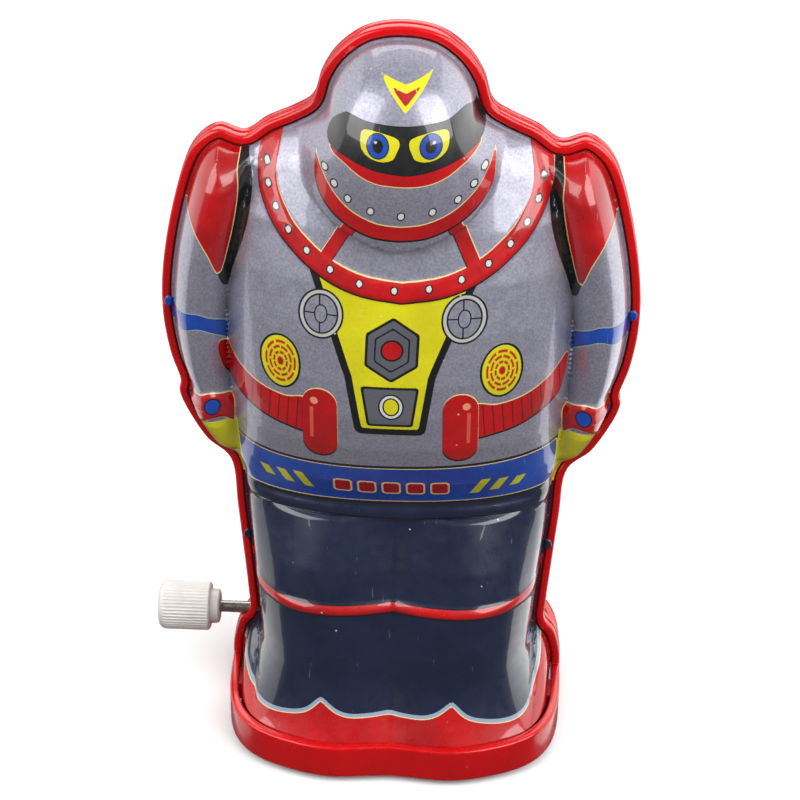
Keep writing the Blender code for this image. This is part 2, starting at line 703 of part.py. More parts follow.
def knob(axis):
    """The fluted winding knob with a plain collar towards the body and a blind bore for the shaft."""
    y, z = main_centre()
    sides = 2 * KNOB_FLUTES
    stations = ((KNOB_IN, 3.0, 0.0), (KNOB_COLLAR, 3.2, 0.0), (KNOB_COLLAR - 0.1, 4.1, 0.06),
                (KNOB_COLLAR - 0.8, KNOB_RADIUS, 0.06), (KNOB_OUT + 0.9, KNOB_RADIUS, 0.06),
                (KNOB_OUT + 0.2, 3.7, 0.03), (KNOB_OUT, 3.0, 0.0))
    bm = bmesh.new()
    rings = []
    for x, radius, flute in stations:
        ring = []
        for i in range(sides):
            a = 2 * math.pi * i / sides
            r = radius * (1.0 - flute * (i % 2))
            ring.append((x, y + r * math.cos(a), z + r * math.sin(a)))
        rings.append(ring)
    bore = SHAFT_RADIUS + FIT_CLEARANCE
    inner = [(x, ring_points((y, z), bore, sides)) for x in (KNOB_IN, -36.4)]
    made = loft(bm, rings, caps=False)
    hole = [[bm.verts.new((x, py, pz)) for py, pz in ring] for x, ring in inner]
    for i in range(sides):
        j = (i + 1) % sides
        bm.faces.new((made[0][i], made[0][j], hole[0][j], hole[0][i]))
        bm.faces.new((hole[0][i], hole[0][j], hole[1][j], hole[1][i]))
    bm.faces.new(hole[1])
    bm.faces.new(made[-1])
    return add_object("winding_knob", bm, white_nylon(), 30, axis)


def mainspring():
    """A flat spiral strip from near the shaft out to the lower rear post."""
    y, z = main_centre()
    turns, inner, outer, half = 5.5, 1.9, 10.3, 0.22
    steps = 77
    rows = []
    for i in range(steps + 1):
        t = i / steps
        a = 2 * math.pi * turns * t
        r = inner + (outer - inner) * t
        rows.append([(x, y + (r + side) * math.cos(a), z + (r + side) * math.sin(a))
                     for x, side in ((-5.6, -half), (1.4, -half), (1.4, half), (-5.6, half))])
    bm = bmesh.new()
    loft(bm, rows)
    return add_object("mainspring", bm, spring_steel(), 35)


def motor_plate(name, sign):
    """One side plate of the motor with a bent foot and its bores."""
    x0, x1 = sorted((sign * (MOTOR_X - MOTOR_PLATE / 2), sign * (MOTOR_X + MOTOR_PLATE / 2)))
    made = add_object(name, prism_x(PLATE_OUTLINE, x0, x1), steel())
    f0, f1 = sorted((sign * (MOTOR_X - 0.2), sign * 14.0))
    foot = SEAT_TOP + GAP
    low = (f0, MOTOR_SCREW_Y - 3.0, foot)
    high = (f1, MOTOR_SCREW_Y + 3.0, foot + MOTOR_PLATE)
    boolean(made, box_object(f"{name}_foot", low, high), "UNION")
    foot_hole = f"{name}_foot_hole"
    hole = post_tool(foot_hole, sign * MOTOR_SCREW_X, MOTOR_SCREW_Y, SCREW_HOLE, 1.0, SCREW_TOP + 0.2)
    boolean(made, hole, "DIFFERENCE")
    bores = [(main_centre(), SHAFT_RADIUS + BORE_CLEARANCE), (drive_centre(), SHAFT_RADIUS + BORE_CLEARANCE)]
    bores += [(c, ARBOR_RADIUS + BORE_CLEARANCE) for c in (second_centre(), escape_centre(), pallet_centre())]
    bores += [(c, POST_RADIUS - 0.1) for c in POSTS]
    for index, (centre, radius) in enumerate(bores):
        bore = turned(((x0 - 1.0, radius), (x1 + 1.0, radius)), 12, centre)
        boolean(made, tool_object(f"{name}_bore_{index}", bore), "DIFFERENCE")
    return made


def motor_post(name, centre):
    """A spacer post, necked down where it passes through the plates."""
    shoulder = MOTOR_X - MOTOR_PLATE / 2 - GAP
    end = MOTOR_X + MOTOR_PLATE / 2 + 0.5
    neck = POST_RADIUS - 0.1 - GAP
    profile = ((-end, neck), (-shoulder, neck), (-shoulder, POST_RADIUS), (shoulder, POST_RADIUS),
               (shoulder, neck), (end, neck))
    return add_object(name, turned(profile, 12, centre), steel(), 35)


def wheel(name, x, width, radius, bore, centre, mat, parent):
    """A moulded wheel: a thick rim and hub with a thinner web between them."""
    half = width / 2
    rim, hub, web = radius - 1.2, bore + 1.1, half * 0.35
    face = ((half, radius), (half, rim), (web, rim - 0.2), (web, hub), (half, hub))
    out = [(x - dx, r) for dx, r in reversed(face)] + [(x + dx, r) for dx, r in face]
    return add_object(name, tube(out, ((x - half, bore), (x + half, bore)), 20, centre), mat, 35, parent)


def drive_train(main_phase):
    centre = drive_centre()
    axis = pivot("drive_axis", *centre)
    reach = DRIVE_WHEEL_X + 2.2
    arbor("drive_axle", centre, -reach, reach, SHAFT_RADIUS, axis)
    phase = meshed_phase(main_centre(), MAIN_TEETH, main_phase, centre, DRIVE_TEETH)
    gear("drive_pinion", centre, DRIVE_TEETH, MODULE_1, phase, MAIN_GEAR_X, 2.4,
         SHAFT_RADIUS + FIT_CLEARANCE, brass(), axis)
    tyre_in = DRIVE_WHEEL_RADIUS - 0.9
    for sign, end in ((-1, "left"), (1, "right")):
        x = sign * DRIVE_WHEEL_X
        wheel(f"drive_wheel_{end}", x, 3.4, tyre_in - GAP, SHAFT_RADIUS + FIT_CLEARANCE, centre,
              black_plastic(), axis)
        out = ((x - 1.3, DRIVE_WHEEL_RADIUS - 0.3), (x - 0.9, DRIVE_WHEEL_RADIUS),
               (x + 0.9, DRIVE_WHEEL_RADIUS), (x + 1.3, DRIVE_WHEEL_RADIUS - 0.3))
        bm = tube(out, ((x - 1.3, tyre_in), (x + 1.3, tyre_in)), 30, centre)
        add_object(f"drive_tyre_{end}", bm, rubber(), 35, axis)


def front_train():
    centre = front_centre()
    axis = pivot("front_axis", *centre)
    reach = FRONT_WHEEL_X + 2.0
    arbor("front_axle", centre, -reach, reach, ARBOR_RADIUS, axis)
    for sign, end in ((-1, "left"), (1, "right")):
        wheel(f"front_wheel_{end}", sign * FRONT_WHEEL_X, 3.0, FRONT_WHEEL_RADIUS,
              ARBOR_RADIUS + FIT_CLEARANCE, centre, black_plastic(), axis)


def second_train(main_phase):
    centre = second_centre()
    axis = pivot("second_axis", *centre)
    reach = MOTOR_X + 0.9
    arbor("second_arbor", centre, -reach, reach, ARBOR_RADIUS, axis)
    phase = meshed_phase(main_centre(), MAIN_TEETH, main_phase, centre, SECOND_PINION_TEETH)
    bore = ARBOR_RADIUS + FIT_CLEARANCE
    gear("second_pinion", centre, SECOND_PINION_TEETH, MODULE_1, phase, MAIN_GEAR_X, 2.0, bore, brass(), axis)
    towards = math.radians(35.0)
    gear("second_gear", centre, SECOND_TEETH, MODULE_2, towards, SECOND_GEAR_X, 0.9, bore, brass(), axis)
    return towards


def escape_train(second_phase):
    centre = escape_centre()
    axis = pivot("escape_axis", *centre)
    reach = MOTOR_X + 0.9
    arbor("escape_arbor", centre, -reach, reach, ARBOR_RADIUS, axis)
    bore = ARBOR_RADIUS + FIT_CLEARANCE
    phase = meshed_phase(second_centre(), SECOND_TEETH, second_phase, centre, ESCAPE_PINION_TEETH)
    gear("escape_pinion", centre, ESCAPE_PINION_TEETH, MODULE_2, phase, SECOND_GEAR_X, 1.3, bore,
         steel(), axis)
    outline = []
    start = math.pi / 2 + math.pi / ESCAPE_TEETH
    for k in range(ESCAPE_TEETH):
        for share, radius in ((0.0, 4.2), (0.22, 3.2), (0.7, 3.2)):
            a = start + 2 * math.pi * (k + share) / ESCAPE_TEETH
            outline.append((centre[0] + radius * math.cos(a), centre[1] + radius * math.sin(a)))
    bm = toothed_prism(outline, 3, ESCAPE_WHEEL_X - 0.5, ESCAPE_WHEEL_X + 0.5, centre, bore, start)
    add_object("escape_wheel", bm, brass(), parent=axis)


def pallet():
    """The rocking pallet over the escape wheel."""
    centre = pallet_centre()
    axis = pivot("pallet_axis", *centre)
    reach = MOTOR_X + 0.9
    arbor("pallet_arbor", centre, -reach, reach, ARBOR_RADIUS, axis)
    y, z = centre
    half = ((0.0, -1.6), (2.4, -2.2), (4.2, -3.8), (4.6, -3.1), (3.0, 0.2), (1.2, 1.7))
    outline = [(y + py, z + pz) for py, pz in half] + [(y - py, z + pz) for py, pz in half[:0:-1]]
    bm = prism_x(outline, ESCAPE_WHEEL_X - 0.6, ESCAPE_WHEEL_X + 0.6)
    made = add_object("pallet", bm, steel(), parent=axis)
    hole = turned(((-2.0, ARBOR_RADIUS + FIT_CLEARANCE), (2.0, ARBOR_RADIUS + FIT_CLEARANCE)), 14, centre)
    boolean(made, tool_object("pallet_bore", hole), "DIFFERENCE")


def main():
    clear_scene()
    line = frame_line()
    tin_shell("front_shell", -1, line)
    tin_shell("rear_shell", 1, line)
    frame_half("front_frame", -1, line)
    frame_half("rear_frame", 1, line)
    base_housing()
    base_plate()
    for index, (sx, sy) in enumerate(((-1, -1), (1, -1), (1, 1), (-1, 1)), start=1):
        screw(f"base_screw_{index}", sx * BOSS_X, sy * BOSS_Y)
    screw("motor_screw_left", -MOTOR_SCREW_X, MOTOR_SCREW_Y)
    screw("motor_screw_right", MOTOR_SCREW_X, MOTOR_SCREW_Y)
    motor_plate("motor_plate_left", -1)
    motor_plate("motor_plate_right", 1)
    for index, centre in enumerate(POSTS, start=1):
        motor_post(f"motor_post_{index}", centre)
    mainspring()
    main_phase = winding_train()
    drive_train(main_phase)
    second_phase = second_train(main_phase)
    escape_train(second_phase)
    pallet()
    front_train()


main()
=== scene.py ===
"""Looks of the wind-up tin robot: two lithographed tin shells in a glossy red plastic frame.

The scene works in metres. Lengths here are in millimetres and are turned into metres
when a mesh is made. The robot faces -Y, up is +Z, and its winding knob is at -X.
"""

import math

import bmesh
import bpy
import numpy as np
from mathutils import Matrix, Vector
from mathutils.geometry import delaunay_2d_cdt


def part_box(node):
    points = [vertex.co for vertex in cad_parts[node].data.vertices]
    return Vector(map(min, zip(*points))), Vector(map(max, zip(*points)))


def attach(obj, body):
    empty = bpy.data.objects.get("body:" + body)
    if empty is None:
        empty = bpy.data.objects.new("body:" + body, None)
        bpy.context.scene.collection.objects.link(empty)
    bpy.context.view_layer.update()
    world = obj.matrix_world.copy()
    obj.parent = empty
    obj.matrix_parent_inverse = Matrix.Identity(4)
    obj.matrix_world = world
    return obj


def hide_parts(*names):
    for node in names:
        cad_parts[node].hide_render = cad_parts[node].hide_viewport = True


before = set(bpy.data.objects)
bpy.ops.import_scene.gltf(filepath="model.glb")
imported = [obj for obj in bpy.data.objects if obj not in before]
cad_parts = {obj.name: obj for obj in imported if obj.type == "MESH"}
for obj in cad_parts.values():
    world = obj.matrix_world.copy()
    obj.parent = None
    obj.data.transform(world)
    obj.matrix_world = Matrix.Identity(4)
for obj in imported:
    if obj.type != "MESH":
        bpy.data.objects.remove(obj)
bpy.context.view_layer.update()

MM = 0.001

# ---- outline of the red frame, right half, from the crown down to the base ----
SILHOUETTE = (
    (0.0, 125.2), (5.5, 124.2), (9.7, 121.1), (12.2, 117.2), (13.6, 112.9), (16.3, 110.9),
    (20.6, 108.8), (24.2, 106.4), (28.2, 107.4), (31.7, 104.9), (34.0, 100.0), (36.3, 91.0),
    (37.7, 82.0), (37.9, 74.5), (37.0, 67.5), (35.6, 62.4), (35.8, 59.8), (34.4, 56.0),
    (31.6, 51.0), (27.7, 46.8), (26.9, 38.0), (26.2, 29.5), (25.5, 20.5), (25.4, 16.0),
    (27.2, 13.2), (28.2, 9.4), (28.4, 6.5),
)

# ---- base ----
BASE_HALF_WIDTH, BASE_HALF_DEPTH, BASE_POWER = 28.4, 25.0, 3.7
FOOT_LOBE, FOOT_LOBE_X, FOOT_LOBE_WIDTH = 1.1, 10.0, 7.0
BASE_HEIGHT, SKIRT_WALL = 6.2, 1.35

# ---- frame and tin ----
FRAME_DEPTH, PARTING, RIM_WIDTH, LEDGE_WIDTH, LEDGE_DEPTH = 1.8, 0.15, 1.35, 3.0, 1.0
TIN, TIN_EDGE, TIN_FLANGE, FLANGE_END, TIN_FOOT, TIN_FLOOR = 0.4, 1.65, 1.7, 1.95, 5.6, 3.4
TIN_GRID = 0.5
TAB_HALF_WIDTH, TAB_HALF_HEIGHT = 0.62, 0.95

# ---- relief tables: heights up the robot, then depth or width at those heights ----
HEAD_CENTRE_Z, HEAD_HALF_WIDTH, HEAD_UP, HEAD_DOWN, HEAD_DEPTH = 106.0, 16.0, 18.8, 22.0, 15.8
CHIN_CENTRE_Z, CHIN_HALF_WIDTH, CHIN_HALF_HEIGHT, CHIN_STEP = 108.0, 15.4, 13.6, (0.985, 1.03)
TORSO_LEVELS = (44.0, 46.6, 48.0, 52.0, 56.0, 60.0, 66.0, 72.0, 80.0, 88.0, 96.0, 104.0, 111.0, 116.0)
TORSO_DEPTH = (12.0, 12.0, 12.6, 14.6, 16.0, 16.9, 17.4, 17.2, 16.2, 14.6, 12.3, 9.4, 6.2, 3.0)
TORSO_WIDTH = (26.4, 26.4, 26.5, 26.7, 26.9, 27.2, 27.5, 27.6, 27.6, 27.2, 26.0, 22.5, 17.0, 12.0)
TORSO_POWER = 2.25
ARM_LEVELS = (46.0, 48.0, 52.0, 57.0, 64.0, 70.0, 77.0, 86.0, 94.0, 100.0, 105.0, 109.0)
ARM_CENTRE = (27.2, 27.6, 29.0, 30.2, 31.0, 31.6, 31.9, 31.3, 29.8, 28.6, 27.6, 27.0)
ARM_WIDTH = (1.5, 2.6, 4.2, 4.8, 4.6, 4.9, 5.2, 5.4, 5.8, 5.9, 5.4, 4.0)
ARM_DEPTH = (2.0, 3.4, 6.0, 7.6, 7.4, 8.0, 8.4, 8.8, 9.0, 8.6, 6.5, 3.0)
LEG_LEVELS = (5.6, 12.0, 20.0, 29.3, 35.0, 40.0, 43.4)
LEG_DEPTH = (20.6, 20.0, 19.2, 17.7, 16.0, 13.8, 12.0)
CLEFT_DEPTH = (18.6, 18.2, 17.4, 16.0, 14.3, 12.4, 11.7)
LEG_WIDTH = (23.5, 23.5, 23.6, 24.4, 25.2, 25.8, 26.1)
LEG_POWER = (2.4, 2.4, 2.4, 2.3, 2.0, 1.8, 1.8)
LEG_CENTRE, CLEFT_POWER = 9.5, 1.7
FOOT_TOP, FOOT_POWER = 17.0, 1.9
JOIN_POWER = 6
WELT_Z, WELT_HALF, WELT_RISE = 28.7, 0.95, 0.6
HEM_Z, HEM_HALF, HEM_RISE = 44.6, 1.1, 0.5
CUFF_RISE, RING_RISE = 0.55, 0.35
EDGE_LEVELS, EDGE_RADIUS = (6.0, 16.0, 50.0, 60.0, 125.0), (0.7, 1.4, 2.1, 3.0, 4.0)


# ---- small mathematics
def smooth_step(low, high, value):
    t = np.clip((value - low) / (high - low), 0.0, 1.0)
    return t * t * (3.0 - 2.0 * t)


def catmull_rom(points, steps):
    """A smooth curve through the points, with steps samples in each span."""
    p = [np.array(q, float) for q in points]
    p = [2 * p[0] - p[1]] + p + [2 * p[-1] - p[-2]]
    made = []
    for a, b, c, d in zip(p, p[1:], p[2:], p[3:]):
        for i in range(steps):
            t = i / steps
            made.append(0.5 * (2 * b + (c - a) * t + (2 * a - 5 * b + 4 * c - d) * t * t
                               + (3 * b - a - 3 * c + d) * t ** 3))
    made.append(p[-2])
    return np.array(made)


def closed_curve(points, steps=6):
    """A closed smooth curve through the points."""
    ring = list(points[-2:]) + list(points) + list(points[:2])
    return catmull_rom(ring, steps)[2 * steps:-2 * steps - 1]


def frame_line(steps=8):
    """The outline from the right foot over the crown to the left foot."""
    head = SILHOUETTE[1]
    half = catmull_rom(((-head[0], head[1]),) + SILHOUETTE, steps)[steps:]
    left = half[1:] * np.array([-1.0, 1.0])
    return np.vstack([half[::-1], left])


def inward_normals(line, rounds=12):
    """Directions to the inside of the line, evened out so that small bumps don't fold over."""
    tangent = np.gradient(line, axis=0)
    tangent /= np.linalg.norm(tangent, axis=1)[:, None]
    normal = np.stack([-tangent[:, 1], tangent[:, 0]], axis=1)
    for _ in range(rounds):
        padded = np.vstack([normal[:1], normal, normal[-1:]])
        normal = padded[:-2] + 2 * padded[1:-1] + padded[2:]
        normal /= np.linalg.norm(normal, axis=1)[:, None]
    normal[0] = (-1.0, 0.0)
    normal[-1] = (1.0, 0.0)
    return normal


def line_distance(points, line, closed=False):
    """The distance of each point to the nearest stretch of the line."""
    ends = np.vstack([line, line[:1]]) if closed else line
    best = np.full(len(points), 1e9)
    for a, b in zip(ends[:-1], ends[1:]):
        along = b - a
        t = np.clip(((points - a) @ along) / max(along @ along, 1e-12), 0.0, 1.0)
        gap = points - (a + t[:, None] * along)
        best = np.minimum(best, gap[:, 0] ** 2 + gap[:, 1] ** 2)
    return np.sqrt(best)


def inside(points, loop):
    """Which points lie inside the closed loop, by counting crossings."""
    closed = np.vstack([loop, loop[:1]])
    found = np.zeros(len(points), bool)
    for a, b in zip(closed[:-1], closed[1:]):
        crosses = (a[1] > points[:, 1]) != (b[1] > points[:, 1])
        reach = a[0] + (points[:, 1] - a[1]) / (b[1] - a[1] + 1e-12) * (b[0] - a[0])
        found ^= crosses & (points[:, 0] < reach)
    return found


NEAR, FAR = 2.5, 9.0


def near_box(points, shape):
    """Which points lie within reach of a shape's box."""
    low, high = shape.min(axis=0) - NEAR, shape.max(axis=0) + NEAR
    return np.all((points > low) & (points < high), axis=1)


def signed(points, loop):
    """Signed distance to a closed loop, negative inside. It isn't measured far from the loop."""
    loop = np.array(loop, float)
    near = near_box(points, loop)
    found = np.full(len(points), FAR)
    d = line_distance(points[near], loop, closed=True)
    found[near] = np.where(inside(points[near], loop), -d, d)
    return found


def base_depth(x, inset=0.0):
    """Half the base's depth at x: a squarish oval with a low swelling in front of each foot."""
    bump = FOOT_LOBE * np.exp(-((np.abs(x) - FOOT_LOBE_X) / FOOT_LOBE_WIDTH) ** 2)
    ratio = np.clip(np.abs(x) / (BASE_HALF_WIDTH - inset), 0.0, 1.0)
    return (BASE_HALF_DEPTH - inset + bump) * (1.0 - ratio ** BASE_POWER) ** (1.0 / BASE_POWER)


# ---- pressed relief
def head_relief(x, z):
    """The helmet, which overhangs the body along its lower crescent edge."""
    up = (z - HEAD_CENTRE_Z) / np.where(z > HEAD_CENTRE_Z, HEAD_UP, HEAD_DOWN)
    ball = HEAD_DEPTH * np.sqrt(np.clip(1.0 - (x / HEAD_HALF_WIDTH) ** 2 - up ** 2, 0.0, 1.0))
    reach = np.hypot(x / CHIN_HALF_WIDTH, (z - CHIN_CENTRE_Z) / CHIN_HALF_HEIGHT)
    return ball * np.where(z < CHIN_CENTRE_Z, 1.0 - smooth_step(*CHIN_STEP, reach), 1.0)


def torso_relief(x, z):
    width = np.interp(z, TORSO_LEVELS, TORSO_WIDTH)
    across = np.clip(1.0 - (x / width) ** TORSO_POWER, 0.0, 1.0) ** (1.0 / TORSO_POWER)
    return np.interp(z, TORSO_LEVELS, TORSO_DEPTH) * across * (z > LEG_LEVELS[-1])


def arm_relief(x, z):
    """A round arm whose middle, width and depth change with height, with a raised cuff."""
    off_centre = (x - np.interp(z, ARM_LEVELS, ARM_CENTRE)) / np.interp(z, ARM_LEVELS, ARM_WIDTH)
    return np.interp(z, ARM_LEVELS, ARM_DEPTH) * np.sqrt(np.clip(1.0 - off_centre ** 2, 0.0, 1.0))


def leg_relief(x, z):
    """One leg's round outer side, running into a shallow cleft between the two legs."""
    depth = np.interp(z, LEG_LEVELS, LEG_DEPTH)
    power = np.interp(z, LEG_LEVELS, LEG_POWER)
    outward = np.clip((x - LEG_CENTRE) / (np.interp(z, LEG_LEVELS, LEG_WIDTH) - LEG_CENTRE), 0.0, 1.0)
    inward = np.clip((LEG_CENTRE - x) / LEG_CENTRE, 0.0, 1.0)
    outer = depth * (1.0 - outward ** power) ** (1.0 / power)
    inner = depth - (depth - np.interp(z, LEG_LEVELS, CLEFT_DEPTH)) * inward ** CLEFT_POWER
    return np.where(x > LEG_CENTRE, outer, inner) * (z < LEG_LEVELS[-1])


def rolled(distance, half, rise):
    """The rise of a half-round bead over its middle line."""
    return rise * np.sqrt(np.clip(1.0 - (distance / half) ** 2, 0.0, 1.0))


def relief(x, z, details):
    """How far the tin stands out from the robot's middle plane, before its edge is rounded."""
    x = np.abs(x)
    parts = (head_relief(x, z), torso_relief(x, z), arm_relief(x, z), leg_relief(x, z))
    body = sum(part ** JOIN_POWER for part in parts) ** (1.0 / JOIN_POWER)
    body = body + rolled(z - WELT_Z, WELT_HALF, WELT_RISE) + rolled(z - HEM_Z, HEM_HALF, HEM_RISE)
    body = body + CUFF_RISE * smooth_step(0.25, -0.35, details["cuff"])
    body = body + RING_RISE * smooth_step(0.2, -0.3, details["ring"]) * (details["helmet"] > 0.0)
    foot = np.clip((FOOT_TOP - z) / (FOOT_TOP - TIN_FOOT), 0.0, 1.0) ** FOOT_POWER
    return body * (1.0 - foot) + base_depth(x, TIN_EDGE + 0.2) * foot


def tin_height(points, line, details):
    """The tin's outer surface: a flat flange at the frame, then a rounded rise to the relief."""
    x, z = points[:, 0], points[:, 1]
    from_edge = line_distance(points, line)
    radius = np.interp(z, EDGE_LEVELS, EDGE_RADIUS)
    rise = np.clip((from_edge - FLANGE_END) / radius, 0.0, 1.0)
    round_edge = np.sqrt(1.0 - (1.0 - rise) ** 2)
    body = (relief(x, z, details) ** 4 + TIN_FLOOR ** 4) ** 0.25
    return TIN_FLANGE + (body - TIN_FLANGE) * round_edge, from_edge


# ---- printed artwork
# Each shape is a signed distance in millimetres over the sheet, negative inside the shape.
# The print sits a little off centre, as a lithographed sheet does after pressing.
PRINT_LEVELS = (8.0, 50.0, 75.0, 92.0, 104.0, 116.0)
PRINT_SHIFT = (-0.8, -0.6, -0.9, -0.3, 0.8, 0.9)
CHEST_SHIFT, BELT_SHIFT, RING_SHIFT, STRUT_SHIFT = -0.8, -0.6, 0.7, 0.5


def folded(points):
    """The points with the left half of the sheet laid over the right half."""
    return np.column_stack([np.abs(points[:, 0]), points[:, 1]])


def half_shape(points, outline, smooth=True):
    """A shape given by its right side. One that starts on the middle line is mirrored into a whole."""
    outline = [tuple(q) for q in outline]
    if outline[0][0] == 0.0:
        outline = outline + [(-x, z) for x, z in outline[::-1] if x > 0.0]
    else:
        points = folded(points)
    return signed(points, closed_curve(outline) if smooth else outline)


def disc(points, x, z, rx, rz, mirror=True):
    """An ellipse, measured so that the distance is right near its edge."""
    dx, dz = ((folded(points) if mirror else points) - (x, z)).T
    k0 = np.hypot(dx / rx, dz / rz)
    k1 = np.hypot(dx / rx ** 2, dz / rz ** 2) + 1e-9
    return k0 * (k0 - 1.0) / k1


def bar(points, x, z, half_x, half_z, corner, mirror=True):
    """A rectangle with rounded corners."""
    dx, dz = np.abs((folded(points) if mirror else points) - (x, z)).T
    dx, dz = dx - (half_x - corner), dz - (half_z - corner)
    return np.hypot(np.maximum(dx, 0), np.maximum(dz, 0)) + np.minimum(np.maximum(dx, dz), 0) - corner


def stripe(points, route, half_width):
    """A band of even width along a smooth route, on both sides."""
    points = folded(points)
    curve = catmull_rom(route, 6)
    near = near_box(points, curve)
    found = np.full(len(points), FAR)
    found[near] = line_distance(points[near], curve) - half_width
    return found


RING_ROUTE = ((0.0, 87.4), (5.7, 88.2), (9.8, 89.6), (13.0, 91.4), (15.2, 93.1), (17.6, 95.4), (19.4, 98.0),
              (20.6, 100.6), (21.0, 103.0), (20.8, 105.5), (20.0, 109.5))
RING_HALF, STRUT_HALF = 1.5, 1.0
STRUT = ((7.4, 99.0), (11.3, 91.8))
HELMET = ((0.0, 96.6), (4.3, 97.0), (8.6, 98.7), (11.7, 101.2), (13.3, 104.2), (13.5, 107.6),
          (16.5, 107.0), (16.5, 127.0), (0.0, 127.0))
HELMET_LOWER_EDGE = HELMET[:6]
CHIN_INNER = ((0.0, 99.0), (3.8, 99.4), (7.8, 101.0), (10.8, 103.6), (12.4, 106.2), (13.35, 108.4))
CHIN_RIVETS = ((0.0, 101.0), (4.6, 101.5), (8.2, 102.9), (10.4, 104.8), (11.9, 106.9))
VISOR = ((0.0, 107.9), (3.2, 108.2), (6.5, 109.0), (9.2, 109.9), (11.0, 110.3), (11.6, 111.2),
         (10.7, 113.4), (9.3, 115.0), (8.5, 115.5), (7.3, 115.4), (5.8, 115.1), (3.0, 114.9), (0.0, 114.8))
VISOR_RED = ((0.0, 106.0), (3.0, 106.1), (6.0, 106.9), (9.0, 108.7), (11.2, 110.1), (9.2, 111.0),
             (0.0, 110.0))
LENS = ((0.75, 112.0), (1.0, 113.2), (3.4, 113.9), (5.9, 114.1), (6.5, 113.2), (6.3, 111.3), (4.9, 110.1),
        (2.9, 109.8), (1.3, 110.5))
CREST_EDGE = ((0.0, 120.0), (3.9, 121.0), (0.0, 116.5))
CREST = ((0.0, 119.0), (2.3, 119.9), (0.0, 117.4))
FUNNEL = ((0.0, 94.0), (13.4, 94.0), (10.3, 86.0), (8.0, 79.6), (5.9, 73.6), (4.45, 64.3), (0.0, 64.3))
BADGE = ((0.0, 71.5), (4.1, 71.5), (3.2, 65.2), (0.0, 65.2))
SHOULDER_RED = ((25.5, 107.0), (24.9, 102.5), (24.8, 99.6), (25.5, 94.8), (26.6, 89.8), (28.0, 85.4),
                (29.5, 89.6), (31.5, 93.6), (34.0, 97.0), (37.5, 100.0), (34.0, 108.0))
SHOULDER_DARK = ((24.2, 107.5), (23.2, 104.2), (22.8, 101.5), (22.7, 98.8), (23.2, 95.2), (24.3, 91.0),
                 (25.8, 86.5), (27.1, 82.2), (28.2, 85.8), (27.6, 90.0), (27.0, 98.0), (27.0, 108.0))
ARMBAND = ((27.3, 75.3), (30.0, 77.6), (32.6, 78.5), (38.5, 76.6), (38.5, 73.6), (34.8, 74.8),
           (31.6, 76.0), (28.8, 74.4), (26.9, 72.4))
CUFF = ((26.3, 61.6), (28.2, 62.9), (30.4, 63.4), (32.4, 62.6), (36.8, 61.8), (36.8, 55.8), (33.4, 56.3),
        (30.6, 58.6), (28.2, 58.9), (26.3, 57.4))
HAND = ((26.1, 58.0), (36.0, 58.0), (36.0, 54.0), (30.0, 45.0), (25.2, 45.2), (25.3, 48.0), (25.7, 53.0))
HOSE = ((13.0, 68.3), (16.6, 68.0), (21.0, 68.7), (24.6, 70.4), (27.5, 72.6), (27.0, 68.0), (25.6, 65.9),
        (21.0, 63.7), (16.6, 62.7), (13.0, 62.7))
SCALLOP = ((0.0, 9.6), (3.0, 9.4), (6.2, 9.5), (8.6, 10.3), (10.9, 12.0))
SCALLOP_OUTER = ((10.9, 12.0), (13.4, 9.9), (17.2, 8.6), (21.2, 7.7), (23.6, 7.8), (25.0, 9.2),
                 (25.7, 11.6), (25.3, 15.8))
SHEET_FOOT = [(40.0, 16.0), (40.0, 0.0), (0.0, 0.0)]
BELT_BOTTOM, BELT_HALF, BELT_END, BELT_SLOPE, BLOCK_Z = 46.9, 4.6, 26.6, 0.02, 50.9
GAUGE_X, GAUGE_Z = 0.2, 78.1
DIAL_X, DIAL_Z = 11.0, 83.2
SPEAKER_X, SPEAKER_Z, SPEAKER_WIDE, SPEAKER_TALL = 17.2, 74.0, 3.0, 4.3
PANEL_Z = 73.0


def shared_art(points, printed, ring_at, strut_shift, belt_slope):
    """The shapes that both sheets have: legs, belt, arms, yoke and helmet."""
    x, z = printed.T
    sole = list(catmull_rom(SCALLOP, 6)) + list(catmull_rom(SCALLOP_OUTER, 6))[1:]
    chin = list(catmull_rom(CHIN_INNER, 6)) + list(catmull_rom(HELMET_LOWER_EDGE, 6))[::-1]
    over_belt = np.abs(z - BELT_BOTTOM - BELT_HALF - belt_slope * x) - BELT_HALF
    strut_at = np.column_stack([np.abs(x - strut_shift), z])
    art = {
        "sole": half_shape(printed, sole + SHEET_FOOT, smooth=False),
        "legs": z - BELT_BOTTOM - BELT_SLOPE * x,
        "welt": np.abs(points[:, 1] - WELT_Z) - WELT_HALF,
        "belt": np.maximum(over_belt, np.abs(x) - BELT_END),
        "hand": half_shape(points, HAND, smooth=False),
        "button": np.minimum(disc(points, 29.7, 61.2, 1.15, 1.3), disc(points, 34.0, 58.9, 0.6, 1.2)),
        "ring": stripe(ring_at, RING_ROUTE, RING_HALF),
        "strut": line_distance(strut_at, np.array(STRUT)) - STRUT_HALF,
        "rivet": ring_rivets(ring_at),
        "helmet": half_shape(printed, HELMET),
        "chin": half_shape(printed, chin, smooth=False),
        "chin_rivet": np.minimum.reduce([disc(printed, u, v, 0.46, 0.6) for u, v in CHIN_RIVETS]),
        "block": bars(printed, [(3.9 * k, BLOCK_Z) for k in range(-2, 3)], 1.25, 1.35, 0.35),
    }
    arm = {"cuff": CUFF, "armband": ARMBAND, "dark": SHOULDER_DARK, "shoulder": SHOULDER_RED}
    for shape, outline in arm.items():
        art[shape] = half_shape(points, outline)
    return art


def bars(points, places, half_x, half_z, corner):
    """The same rounded bar at several places."""
    return np.minimum.reduce([bar(points, x, z, half_x, half_z, corner, mirror=False) for x, z in places])


